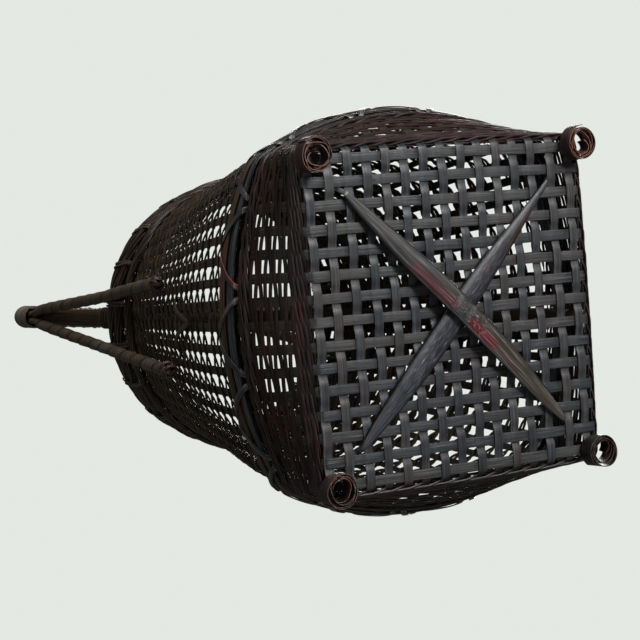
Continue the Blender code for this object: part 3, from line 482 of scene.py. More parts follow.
class Weave:
    """Strands gathered into one mesh, each with its length, its breadth and its tone."""

    def __init__(self, seed):
        self.random = np.random.default_rng(seed)
        self.points = []
        self.faces = []
        self.lengths = []
        self.tones = []
        self.count = 0

    def strand(self, points, sides, width, thickness, section=STRAND, closed=False, tone=None,
               mark=0.0, edge=None, slant=0.0):
        """One strand swept along points; sides point along its width, fibres lie at the slant."""
        points = np.asarray(points, float)
        number, corners = len(points), section.shape[-2]
        section = np.broadcast_to(section, (number, corners, 2))
        after = np.roll(points, -1, axis=0)
        before = np.roll(points, 1, axis=0)
        if not closed:
            after[-1], before[0] = points[-1], points[0]
        tangent = unit(after - before)
        sides = np.broadcast_to(np.asarray(sides, float), points.shape)
        sides = unit(sides - tangent * np.sum(sides * tangent, axis=-1, keepdims=True))
        out = np.cross(tangent, sides)
        half_width = np.broadcast_to(np.asarray(width, float) / 2, (number,))
        half_thickness = np.broadcast_to(np.asarray(thickness, float) / 2, (number,))
        across = section[..., :1] * half_width[:, None, None]
        through = section[..., 1:] * half_thickness[:, None, None]
        rings = points[:, None] + sides[:, None] * across + out[:, None] * through
        self.points.append(rings.reshape(-1, 3))
        start = self.count
        self.count += number * corners
        steps = np.linalg.norm(np.roll(points, -1, axis=0) - points, axis=-1)
        travel = np.concatenate(((0,), np.cumsum(steps))) + self.random.uniform(0, 3)
        edges = np.linalg.norm(np.roll(section[0], -1, axis=0) - section[0], axis=-1)
        breadth = np.concatenate(((0,), np.cumsum(edges))) * float(half_width.mean())
        spans = number if closed else number - 1
        row, column = np.meshgrid(np.arange(spans), np.arange(corners), indexing="ij")
        row, column = row.ravel(), column.ravel()
        next_row, next_column = (row + 1) % number, (column + 1) % corners
        self.faces.append(start + np.stack((
            row * corners + column, row * corners + next_column,
            next_row * corners + next_column, next_row * corners + column,
        ), axis=-1))
        lengths = np.stack((
            np.stack((travel[row], breadth[column]), -1),
            np.stack((travel[row], breadth[column + 1]), -1),
            np.stack((travel[row + 1], breadth[column + 1]), -1),
            np.stack((travel[row + 1], breadth[column]), -1),
        ), axis=1)
        cosine, sine = math.cos(slant), math.sin(slant)
        self.lengths.append(lengths @ np.array(((cosine, -sine), (sine, cosine))))
        tone = self.random.uniform(0, 1) if tone is None else tone
        edge = section[..., 0] ** 2 if edge is None else edge
        tones = np.ones((number, corners, 4))
        for channel, value in enumerate((tone, edge, mark)):
            value = np.asarray(value, float)
            tones[..., channel] = value[:, None] if value.ndim == 1 else value
        self.tones.append(tones.reshape(-1, 4))
        if not closed:
            self.cap(start, corners, -1, rings[0], sides[0])
            self.cap(start + (number - 1) * corners, corners, 1, rings[-1], sides[-1])

    def cap(self, start, corners, hand, ring, side):
        """Quads that close one end of a strand, which has an even number of corners."""
        half = corners // 2
        low = np.arange(half - 1)
        quads = np.stack((low, low + 1, corners - 2 - low, corners - 1 - low), axis=-1)
        if hand < 0:
            quads = quads[:, ::-1]
        self.faces.append(start + quads)
        places = np.stack((np.zeros(corners), ring @ side), axis=-1)
        self.lengths.append(places[quads])

    def finish(self, name, material, replaced=()):
        """The gathered strands as one piece that rides on the basket."""
        faces = np.concatenate(self.faces)
        mesh = bpy.data.meshes.new(name)
        points = np.concatenate(self.points)
        mesh.vertices.add(len(points))
        mesh.vertices.foreach_set("co", points.astype(np.float32).ravel())
        mesh.loops.add(faces.size)
        mesh.loops.foreach_set("vertex_index", faces.astype(np.int32).ravel())
        mesh.polygons.add(len(faces))
        mesh.polygons.foreach_set("loop_start", np.arange(0, faces.size, 4, dtype=np.int32))
        mesh.polygons.foreach_set("loop_total", np.full(len(faces), 4, dtype=np.int32))
        mesh.update(calc_edges=True)
        layer = mesh.uv_layers.new(name="strip")
        layer.data.foreach_set("uv", np.concatenate(self.lengths).astype(np.float32).ravel())
        tones = mesh.attributes.new("strand", "FLOAT_COLOR", "POINT")
        tones.data.foreach_set("color", np.concatenate(self.tones).astype(np.float32).ravel())
        mesh.validate()
        mesh.shade_smooth()
        mesh.set_sharp_from_angle(angle=math.radians(50))
        mesh.materials.append(material)
        piece = bpy.data.objects.new(name, mesh)
        bpy.context.collection.objects.link(piece)
        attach(piece, ROOT)
        if replaced:
            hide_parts(*replaced)
        return piece


class Graph:
    """Short hand for a material's node tree."""

    def __init__(self, name):
        self.material = bpy.data.materials.new(name)
        self.material.use_nodes = True
        self.tree = self.material.node_tree
        self.shader = self.tree.nodes["Principled BSDF"]

    def add(self, kind, inputs=None, **settings):
        """A node with its settings, its constants and its links."""
        node = self.tree.nodes.new(kind)
        for key, value in settings.items():
            setattr(node, key, value)
        for key, value in (inputs or {}).items():
            if isinstance(value, bpy.types.NodeSocket):
                self.tree.links.new(value, node.inputs[key])
            else:
                node.inputs[key].default_value = value
        return node

    def plus(self, first, second):
        """Sum of two values."""
        return self.add("ShaderNodeMath", {0: first, 1: second}, operation="ADD").outputs[0]

    def times(self, first, second):
        """Product of two values."""
        return self.add("ShaderNodeMath", {0: first, 1: second}, operation="MULTIPLY").outputs[0]

    def spread(self, value, low, high, to_low=0.0, to_high=1.0):
        """A value stretched from one range to another and held there."""
        node = self.add("ShaderNodeMapRange", {
            "Value": value, "From Min": low, "From Max": high, "To Min": to_low, "To Max": to_high,
        })
        return node.outputs["Result"]

    def noise(self, vector, scale, detail=2.0, roughness=0.5):
        """Soft noise between 0 and 1."""
        node = self.add("ShaderNodeTexNoise", {
            "Vector": vector, "Scale": scale, "Detail": detail, "Roughness": roughness,
        })
        return node.outputs["Fac"]

    def mix(self, share, first, second, blend_type="MIX"):
        """Two colours mixed."""
        node = self.add("ShaderNodeMix", data_type="RGBA", blend_type=blend_type)
        for socket, value in ((node.inputs[0], share), (node.inputs[6], first),
                              (node.inputs[7], second)):
            if isinstance(value, bpy.types.NodeSocket):
                self.tree.links.new(value, socket)
            else:
                socket.default_value = value if isinstance(value, float) else (*value, 1)
        return node.outputs[2]

    def link(self, value, key):
        """Link a value to the shader."""
        self.tree.links.new(value, self.shader.inputs[key])


# Scales of the fine, the middle and the broad grain: along a strip, across it and by its tone
GRAIN_SCALES = ((45.0, 3800.0, 31.0), (22.0, 1300.0, 23.0), (16.0, 430.0, 17.0))


def bamboo(name, colour, streak, worn_and_sheen, roughness=0.4, coat=0.25, streaks=0.5, wear_and_sheen=0.35,
           marked=None, grain=1.0, second=None, cut=None, contrast=1.0, edge_shade=0.45,
           edge_start=0.72, gloss=0.5):
    """Lacquered split bamboo: fibres, red streaks, pale threads of rubbed lacquer and painted
    sheen, painted shade at the edges.
    """
    graph = Graph(name)
    strip = graph.add("ShaderNodeUVMap", uv_map="strip").outputs["UV"]
    data = graph.add("ShaderNodeAttribute", attribute_name="strand").outputs["Color"]
    tone, edge, mark = graph.add("ShaderNodeSeparateColor", {"Color": data}).outputs[0:3]
    parts = graph.add("ShaderNodeSeparateXYZ", {"Vector": strip}).outputs
    place = graph.add("ShaderNodeCombineXYZ", {"X": parts[0], "Y": parts[1], "Z": tone}).outputs[0]
    fine, middle, broad = (
        graph.add("ShaderNodeMapping", {"Vector": place, "Scale": scale}).outputs[0]
        for scale in GRAIN_SCALES)
    fibre = graph.noise(fine, 1.0, 3.0, 0.6)
    line = graph.noise(middle, 1.0, 2.0)
    band = graph.noise(broad, 1.0, 2.0)
    solid = graph.add("ShaderNodeTexCoord").outputs["Object"]
    patch = graph.noise(solid, 26.0, 3.0)
    body = colour
    if second is not None:
        body = graph.mix(graph.spread(graph.plus(patch, tone), 0.7, 1.4), colour, second)
    red_share = graph.times(graph.spread(band, 0.48, 0.66), graph.spread(patch, 0.44, 0.62))
    body = graph.mix(graph.times(red_share, streaks * 2), body, streak)
    if marked is not None:
        body = graph.mix(mark, body, marked)
    # Pale threads along the fibres: rubbed lacquer, and painted sheen where they are laid on thick.
    threads = graph.times(graph.spread(fibre, 0.5, 0.7), graph.spread(line, 0.44, 0.62))
    body = graph.mix(graph.times(threads, wear_and_sheen), body, worn_and_sheen)
    shade = graph.times(graph.spread(tone, 0, 1, 0.72, 1.3),
                        graph.spread(fibre, 0.3, 0.7, 1 - 0.32 * contrast, 1 + 0.3 * contrast))
    shade = graph.times(shade, graph.spread(line, 0.34, 0.66, 1 - 0.42 * contrast,
                                            1 + 0.45 * contrast))
    # Darker towards the edges of each strand, and in the seams of the wrapped rods: painted shade.
    if cut is None:
        shade = graph.times(shade, graph.spread(edge, edge_start, 0.95, 1.0, edge_shade))
    else:
        rub = graph.times(graph.spread(edge, 0.9, 0.99), graph.spread(patch, 0.42, 0.6, 0.15, 1))
        body = graph.mix(rub, body, cut)
    grey = graph.add("ShaderNodeCombineColor", {"Red": shade, "Green": shade, "Blue": shade})
    graph.link(graph.mix(1.0, body, grey.outputs[0], "MULTIPLY"), "Base Color")
    graph.link(graph.spread(graph.plus(fibre, graph.times(patch, 0.6)), 0.5, 1.1,
                            roughness - 0.1, roughness + 0.14), "Roughness")
    bump = graph.add("ShaderNodeBump", {"Strength": 0.6 * grain, "Distance": 0.00028,
                                        "Height": graph.plus(graph.times(fibre, 0.7), line)})
    graph.link(bump.outputs["Normal"], "Normal")
    graph.shader.inputs["Coat Weight"].default_value = coat
    graph.shader.inputs["Coat Roughness"].default_value = 0.28
    graph.shader.inputs["Specular IOR Level"].default_value = gloss
    return graph.material


def wobble(random, turn, amount):
    """Slow drift of a hand-laid strand round the basket."""
    total = np.zeros_like(turn)
    for wave in range(1, WOBBLE_WAVES + 1):
        phase = random.uniform(0, 2 * np.pi)
        total += random.normal(0, 1) / wave ** 0.6 * np.cos(np.pi / 2 * wave * turn + phase)
    return total * amount / 1.6


def drifting(random, amount):
    """A drift that several strands of one row share."""
    seed = random.integers(1 << 30)
    return lambda turn: wobble(np.random.default_rng(seed), turn, amount)


def soft(value, low, high, edge=0.003):
    """One between two places and zero beyond them, with soft edges."""
    return np.clip((value - low) / edge + 0.5, 0, 1) * np.clip((high - value) / edge + 0.5, 0, 1)


def woven_ring(weave, height, cycle, phase, swing, lift, width, thickness, drift):
    """One strand woven round the stakes and closed on itself."""
    halves = np.arange(2 * STAKES)
    table = np.array(cycle, float)[(halves + 2 * phase) % len(cycle)]
    table = table * (1 + weave.random.uniform(-0.12, 0.12, table.shape))
    shares = smooth(table, WEAVE_STEPS, closed=True)
    turn = (np.arange(2 * STAKES * WEAVE_STEPS) / (2 * WEAVE_STEPS) + 0.5) / STRIPS_EACH_WAY
    level = height + shares[:, 1] * lift + drift(turn)
    point, _, upward, outward = wall_frame(turn, level)
    breadth = width * (1 + wobble(weave.random, turn, 0.07))
    weave.strand(point + outward * (shares[:, 0] * swing)[:, None], upward, breadth, thickness,
                 closed=True)


def ring_strand(weave, height, offset, width, thickness, section, sway=0.0, amount=0.0002,
                twist=None):
    """Closed strand that lies round the wall, twisted with others where it has a twist."""
    turn = 4 * np.arange(RING_STATIONS) / RING_STATIONS
    level = height + wobble(weave.random, turn, amount)
    out = offset + wobble(weave.random, turn, amount * 0.6)
    if twist:
        waves, radius, phase = twist
        angle = 2 * np.pi * waves * turn / 4 + phase
        level = level + radius * np.cos(angle)
        out = out + radius * 0.5 * np.sin(angle)
    level = level + sway * np.sin(np.pi * 5 * turn)
    point, _, upward, outward = wall_frame(turn, level)
    weave.strand(point + outward * out[:, None], -upward, width, thickness, section, closed=True)


def laid(index, runs_along_x):
    """How far a hand-laid strip lies off the even spacing of the mat."""
    shifts, usual = STRIP_SHIFTS["x" if runs_along_x else "y"]
    return shifts.get(index, usual)


def mat_strip(weave, index, runs_along_x):
    """One strip: down a wall, across the mat over and under, and up the opposite wall."""
    random, size = weave.random, sizes()
    place = (index + 0.5) / STRIPS_EACH_WAY
    shift = laid(index, runs_along_x) + random.normal(0, LAYING_ERROR)
    turns = (4 - place, 1 + place) if runs_along_x else (place, 3 - place)
    hands = (-1, 1) if runs_along_x else (1, -1)
    reference = np.array((0.0, 1.0, 0.0) if runs_along_x else (1.0, 0.0, 0.0))
    reach = BASE_WIDTH / 2
    inner = reach - FOLD_RADIUS
    travel = np.linspace(-inner, inner, STRIPS_EACH_WAY * STATIONS_PER_STRIP + 1)
    number = (travel + reach) / PITCH - 0.5
    hand = 1 if index % 2 == (0 if runs_along_x else 1) else -1
    wave = np.clip(2.5 * np.cos(np.pi * number), -1, 1)
    ends = np.clip((inner + 0.002 - np.abs(travel)) / 0.004, 0.3, 1)
    fade = np.clip((inner - np.abs(travel)) / 0.02, 0, 1)
    bow = STRIP_BOW * np.sin(travel * random.uniform(18, 42) + random.uniform(0, 6))
    line = np.zeros((len(travel), 3))
    along, across = (0, 1) if runs_along_x else (1, 0)
    line[:, along] = travel
    line[:, across] = -reach + place * BASE_WIDTH + shift + bow * fade
    line[:, 2] = MAT_LEVEL + hand * wave * MAT_SWING * ends
    runs = []
    heights, bend = STAKE_HEIGHTS, FOLD_BEND
    for turn, turn_hand, end in ((turns[0], hands[0], -1), (turns[1], hands[1], 1)):
        off = turn_hand * shift / BASE_WIDTH * np.clip(1 - heights / 0.03, 0, 1)
        point, wall_along, *_ = wall_frame(turn + off, heights)
        hand_along = np.sign(np.sum(wall_along * reference, axis=-1, keepdims=True))
        fold = np.zeros((len(bend), 3))
        level = line[0, 2] if end < 0 else line[-1, 2]
        fold[:, along] = end * (inner + FOLD_REACH * np.sin(bend))
        fold[:, across] = line[0, across]
        fold[:, 2] = level + (MAT_LEVEL + FOLD_RADIUS - level) * (1 - np.cos(bend))
        widths = size.strip_width * level_value(heights, STRIP_SHARE)
        # The mark turns the strip from the mat's colour to the stakes' darker one up the wall:
        # painted shade of the wall.
        runs.append((np.concatenate((fold, point)),
                     np.concatenate((np.tile(reference, (len(bend), 1)), wall_along * hand_along)),
                     np.concatenate((np.full(len(bend), size.strip_width), widths)),
                     np.concatenate((np.full(len(bend), 0.15), np.clip(heights / 0.02, 0, 1)))))
    near, far = runs
    base_width = size.strip_width * (1 + 0.04 * np.sin(travel * random.uniform(20, 60)))
    middle = (line, np.tile(reference, (len(line), 1)), base_width, np.zeros(len(line)))
    points, sides, widths, marks = (
        np.concatenate((low[::-1], level, high)) for low, level, high in zip(near, middle, far))
    weave.strand(points, sides, widths, size.strip_thickness, FLAT, mark=marks)


def handle_drift(x, height):
    """How far toward +Y the handle's plane lies at a place in it."""
    return HANDLE_SHIFT + HANDLE_SKEW * x / HANDLE_HALF_SPAN - HANDLE_LEAN * height / HANDLE_HEIGHT


def beside_handle(end, height, offset, distance):
    """Point off the wall at one end of the handle, a distance toward +Y from its plane."""
    middle = off_wall(end, height, offset)
    across = handle_drift(middle[0], height) + distance
    direction = -1 if end == NEAR else 1
    next_stake = wall_point(end + 1 / STRIPS_EACH_WAY, height)
    spacing = np.linalg.norm(next_stake - wall_point(end, height))
    return off_wall(end + direction * across / spacing / STRIPS_EACH_WAY, height, offset)


def crown_frame(angle):
    """Points and outward directions on the handle's crown, from -X at 0 over to +X at pi."""
    angle = np.asarray(angle, float)
    height = HANDLE_HEIGHT - HANDLE_CROWN * (1 - np.sin(angle))
    x = -HANDLE_HALF_SPAN * np.cos(angle)
    outward = np.stack((-HANDLE_CROWN * np.cos(angle), 0 * angle,
                        HANDLE_HALF_SPAN * np.sin(angle)), axis=-1)
    share = np.clip((angle - SWAY_START) / (np.pi - SWAY_START), 0, 1)
    y = handle_drift(x, height) + CROWN_SWAY * np.sin(np.pi * share) ** 2
    return np.stack((x, y, MAT_LEVEL + height), axis=-1), unit(outward)


def core_line(end, height):
    """Point on the straight run of the core between the rim and the crown."""
    rim = beside_handle(end, WALL_HEIGHT, -CORE_INSET, 0)
    crown = crown_frame(0.0 if end == NEAR else math.pi)[0]
    share = (MAT_LEVEL + height - rim[2]) / (crown[2] - rim[2])
    return rim + (crown - rim) * share


def core_leg(end):
    """Points of one end of the core, from the mat to below the crown."""
    points = [beside_handle(end, height, -CORE_INSET, 0) for height in CORE_HEIGHTS]
    return np.array(points + [core_line(end, SPRING_HEIGHT), core_line(end, NECK_HEIGHT)])


def rod_leg(end, hand):
    """Points of a side rod outside the wall, from above its knot to the fork."""
    rim_spread, knot_spread, knot_height = ROD_PLACES[hand]
    if end == FAR and hand < 0:
        rim_spread, knot_spread = rim_spread - FAR_NARROWING, knot_spread - FAR_NARROWING
    start = knot_height + KNOT_REACH
    share = (COLLAR_HEIGHT - start) / (WALL_HEIGHT - start)
    spreads = (knot_spread, knot_spread + (rim_spread - knot_spread) * share, rim_spread)
    points = [beside_handle(end, level, offset, hand * spread) for level, spread, offset
              in zip((start, COLLAR_HEIGHT, WALL_HEIGHT), spreads, ROD_STAND_OFFS)]
    outer = -1 if end == NEAR else 1
    points.append(core_line(end, FORK_HEIGHT) + (outer * FORK_STAND_OFF, hand * FORK_SPREAD, 0))
    return np.array(points)


def rod_line(hand):
    """Points of a side rod from knot to knot, with the share of its diameter at each."""
    near, far = rod_leg(NEAR, hand), rod_leg(FAR, hand)
    crown, outward = crown_frame(CROWN_ANGLES)
    crown = crown + outward * ROD_CROWN_LIFT + (0, hand * ROD_CROWN_SPREAD, 0)
    points = smooth(np.concatenate((near, crown, far[::-1])), ROD_STEPS)
    reach = np.arange(len(points)) / ROD_STEPS
    last = len(near) + len(crown)
    marks = (0, 3, 4.2, last - 1.2, last, len(reach) / ROD_STEPS)
    return points, np.interp(reach, marks, (1, 1, ROD_CROWN_SHARE, ROD_CROWN_SHARE, 1, 1))


def travelled(line):
    """Distance from the start of a line to each of its points."""
    return np.concatenate(((0,), np.cumsum(np.linalg.norm(np.diff(line, axis=0), axis=-1))))


def along_line(line, places):
    """Points at some distances along a line."""
    travel = travelled(line)
    return np.stack([np.interp(places, travel, line[:, axis]) for axis in range(3)], axis=-1)


def wrap_path(line, pitch, radius, first_turn):
    """A helix round a line, with its directions along the line and away from it."""
    end = travelled(line)[-1] - WINDING_MARGIN
    places = np.arange(WINDING_MARGIN, end, pitch / WINDING_STEPS)
    centre = along_line(line, places)
    tangent = unit(np.gradient(centre, axis=0))
    side = unit(np.cross(tangent, (0.0, 1.0, 0.0)))
    third = np.cross(tangent, side)
    around = 2 * np.pi * (places / pitch + first_turn)
    out = side * np.cos(around)[:, None] + third * np.sin(around)[:, None]
    return centre + out * radius, tangent, out


class BASKET_OT_strips(bpy.types.Operator):
    """Plait the strips across the base and stand them up as the stakes of the wall"""

    bl_idname = "basket.strips"
    bl_label = "Strips"

    def execute(self, context):
        tint = colours()
        # Where the strip stands in the wall it is painted in the stakes' darker colour: painted
        # shade.
        material = bamboo("blue-black strip", tint.mat, tint.red, GREY, roughness=0.45, coat=0.1,
                          streaks=0.1, wear_and_sheen=0.25, marked=tint.stake, second=OLIVE, edge_shade=0.3)
        for letter, runs_along_x in (("x", True), ("y", False)):
            for index in range(STRIPS_EACH_WAY):
                name = f"strip_{letter}_{index + 1:02d}"
                weave = Weave(100 + index + (50 if runs_along_x else 0))
                mat_strip(weave, index, runs_along_x)
                weave.finish(name + "_plaited", material, (name,))
        return {"FINISHED"}


class BASKET_OT_upper_wall(bpy.types.Operator):
    """Twine the rows of fine strands between the shoulder and the rim"""

    bl_idname = "basket.upper_wall"
    bl_label = "Upper wall"

    def execute(self, context):
        tint = colours()
        material = bamboo("brown-black weaver", tint.weaver, tint.red, TAN, roughness=0.42,
                          coat=0.04, streaks=0.3, wear_and_sheen=0.45, second=OLIVE_BROWN, gloss=0.3)
        rows = sizes().weaver_rows
        for part, numbers in (("low", range(-1, rows // 2)), ("high", range(rows // 2, rows))):
            weave = Weave(300 + len(part))
            for row in numbers:
                height = UPPER_START + UPPER_RISE * row - UPPER_CLOSING * row ** 2
                drift = drifting(weave.random, FINE_DRIFT)
                near_rim = max(row, 0) / rows
                width = sizes().weaver_width * (1 + FINE_WIDENING * near_rim)
                width *= weave.random.uniform(0.9, 1.1)
                lift = FINE_LIFT + FINE_LIFT_GAIN * near_rim
                thickness = FINE_THICKNESS + FINE_THICKNESS_GAIN * near_rim
                for strand in range(2):
                    woven_ring(weave, height, TWINED, strand + row, FINE_SWING, lift, width,
                               thickness, drift)
            if part == "high":
                for number, height in enumerate(CLOSE_ROWS):
                    for strand in range(2):
                        woven_ring(weave, height, TWINED, strand + number, FINE_SWING, CLOSE_LIFT,
                                   CLOSE_WIDTH, CLOSE_THICKNESS,
                                   drifting(weave.random, CLOSE_DRIFT))
            replaced = ("upper_strand_a",) if part == "low" else ("upper_strand_b",)
            weave.finish(f"upper_rows_{part}", material, replaced)
        return {"FINISHED"}


class BASKET_OT_lower_wall(bpy.types.Operator):
    """Weave the twilled strands and the close borders between the base and the shoulder"""

    bl_idname = "basket.lower_wall"
    bl_label = "Lower wall"

    def execute(self, context):
        tint = colours()
        red = bamboo("dark red strand", (0.016, 0.008, 0.006), (0.055, 0.012, 0.008), TAN,
                     roughness=0.42, coat=0.05, streaks=0.9, wear_and_sheen=0.25, gloss=0.3)
        dark = bamboo("black-brown border strand", tint.weaver, tint.red, (0.2, 0.16, 0.13),
                      roughness=0.4, coat=0.06, streaks=0.4, wear_and_sheen=0.5, second=PLUM, gloss=0.35)
        for name, parity, node in (("lower_twill_even", 0, "lower_strand_a"),
                                   ("lower_twill_odd", 1, "lower_strand_b")):
            twill = Weave(410 + parity)
            for row in range(parity, len(TWILL_HEIGHTS), 2):
                woven_ring(twill, TWILL_HEIGHTS[row], TWILL, 1 - row, TWILL_SWING, TWILL_LIFT,
                           TWILL_WIDTHS[row], TWILL_THICKNESS, drifting(twill.random, TWILL_DRIFT))
            twill.finish(name, red, (node,))
        border = Weave(430)
        for height, lift, width in BORDERS:
            drift = drifting(border.random, BORDER_DRIFT)
            for strand in range(BORDER_STRANDS):
                woven_ring(border, height, WALE, strand, BORDER_SWING, lift, width,
                           BORDER_THICKNESS, drift)
        ring_strand(border, *FOOT_STRIP, FLAT)
        border.finish("border_wales", dark)
        return {"FINISHED"}


class BASKET_OT_shoulder(bpy.types.Operator):
    """Lay the hoops round the shoulder and lash them to the stakes"""

    bl_idname = "basket.shoulder"
    bl_label = "Shoulder hoops"

    def execute(self, context):
        tint = colours()
        grey = bamboo("blue-grey hoop", (0.03, 0.033, 0.038), tint.red, (0.32, 0.34, 0.36),
                      roughness=0.3, coat=0.3, streaks=0.15, wear_and_sheen=0.7, edge_shade=0.2,
                      edge_start=0.5)
        brown = bamboo("brown hoop", (0.042, 0.027, 0.014), (0.12, 0.02, 0.012), TAN,
                       roughness=0.42, coat=0.08, streaks=0.4, wear_and_sheen=0.5, gloss=0.35)
        flat = Weave(510)
        ring_strand(flat, *FLAT_HOOP, CROWNED)
        ring_strand(flat, *FLAT_HOOP_BACKING, FLAT)
        flat.finish("shoulder_hoop_split", grey, ("shoulder_hoop_flat",))
        round_hoop = Weave(520)
        ring_strand(round_hoop, *ROUND_HOOP, CROWNED)
        round_hoop.finish("shoulder_hoop_brown", brown, ("shoulder_hoop_round",))
        # Its pale grey threads, laid on thick, are painted silver highlight as well as rubbed
        # lacquer.
        lash = bamboo("red and black lashing", (0.03, 0.026, 0.026), (0.16, 0.012, 0.01),
                      (0.4, 0.4, 0.41), roughness=0.3, coat=0.5, streaks=0.6, wear_and_sheen=0.9,
                      edge_shade=0.8)
        back = tuple((-step, level, out) for step, level, out in LASHING_ARM[::-1])
        stations = np.array(LASHING_ARM + (LASHING_FOOT,) + back + LASHING_INSIDE)
        weave = Weave(530)
        gap = 1 / STRIPS_EACH_WAY
        for number in range(LASHINGS):
            step, level, out = smooth(stations, 4, closed=True).T
            middle = NEAR + (LASHING_START + number * STAKES / LASHINGS) * gap
            skew = 1 + weave.random.uniform(-0.16, 0.12) * np.sign(step)
            turn = middle + (step * skew + weave.random.uniform(-0.1, 0.1)) * gap
            point, along, _, outward = wall_frame(turn % 4, level)
            weave.strand(point + outward * out[:, None], along, LASHING_WIDTH, LASHING_THICKNESS,
                         FLAT, closed=True)
        weave.finish("shoulder_lashing_strip", lash, ("shoulder_lashing",))
        return {"FINISHED"}


class BASKET_OT_rim(bpy.types.Operator):
    """Bundle the strands of the rim and the collar and tie them down"""

    bl_idname = "basket.rim"
    bl_label = "Rim"

    def execute(self, context):
        tint = colours()
        dark = bamboo("rim strand", tint.weaver, tint.red, TAN, roughness=0.42, coat=0.05,
                      streaks=0.3, wear_and_sheen=0.6, second=OLIVE_BROWN, gloss=0.35)
        for name, seed, height, node in (("upper", 610, UPPER_BUNDLE, "rim_strand_upper"),
                                         ("lower", 620, LOWER_BUNDLE, "rim_strand_lower")):
            bundle = Weave(seed)
            for strand in range(BUNDLE_STRANDS):
                ring_strand(bundle, height, *BUNDLE_SIZES, STRAND, amount=BUNDLE_DRIFT,
                            twist=(*BUNDLE_TWIST, 2 * np.pi * strand / BUNDLE_STRANDS))
            bundle.finish(f"rim_{name}_bundle", dark, (node,))
        inner = Weave(630)
        for height in INNER_HOOPS:
            ring_strand(inner, height, *INNER_HOOP_SIZES, FLAT)
        inner.finish("rim_hoop_split", dark, ("rim_hoop_inner",))
        collar = Weave(640)
        for strand in range(COLLAR_STRANDS):
            ring_strand(collar, COLLAR, *COLLAR_SIZES, STRAND, sway=COLLAR_SWAY,
                        twist=(*COLLAR_TWIST, 2 * np.pi * strand / COLLAR_STRANDS))
        collar.finish("collar_bundle", dark, ("collar_strand",))
        tie = bamboo("olive rim tie", (0.05, 0.042, 0.028), tint.bow, (0.2, 0.16, 0.1),
                     roughness=0.5, coat=0.04, wear_and_sheen=0.5, gloss=0.35)
        weave = Weave(650)
        level, out = smooth(np.array(RIM_TIE_STATIONS), 4, closed=True).T
        for number in range(RIM_TIES):
            for pair in (-0.5, 0.5):
                slant = weave.random.uniform(-0.008, 0.008) * (level - RIM_TIE_MIDDLE)
                slant = slant / RIM_TIE_REACH
                turn = 4 * number / RIM_TIES + pair * RIM_TIE_SPACING / RIM_SIDE + slant
                point, along, _, outward = wall_frame(turn, level)
                weave.strand(point + outward * out[:, None], along, RIM_TIE_WIDTH,
                             RIM_TIE_THICKNESS, closed=True)
        weave.finish("rim_ties", tie, ("rim_lashing",))
        return {"FINISHED"}


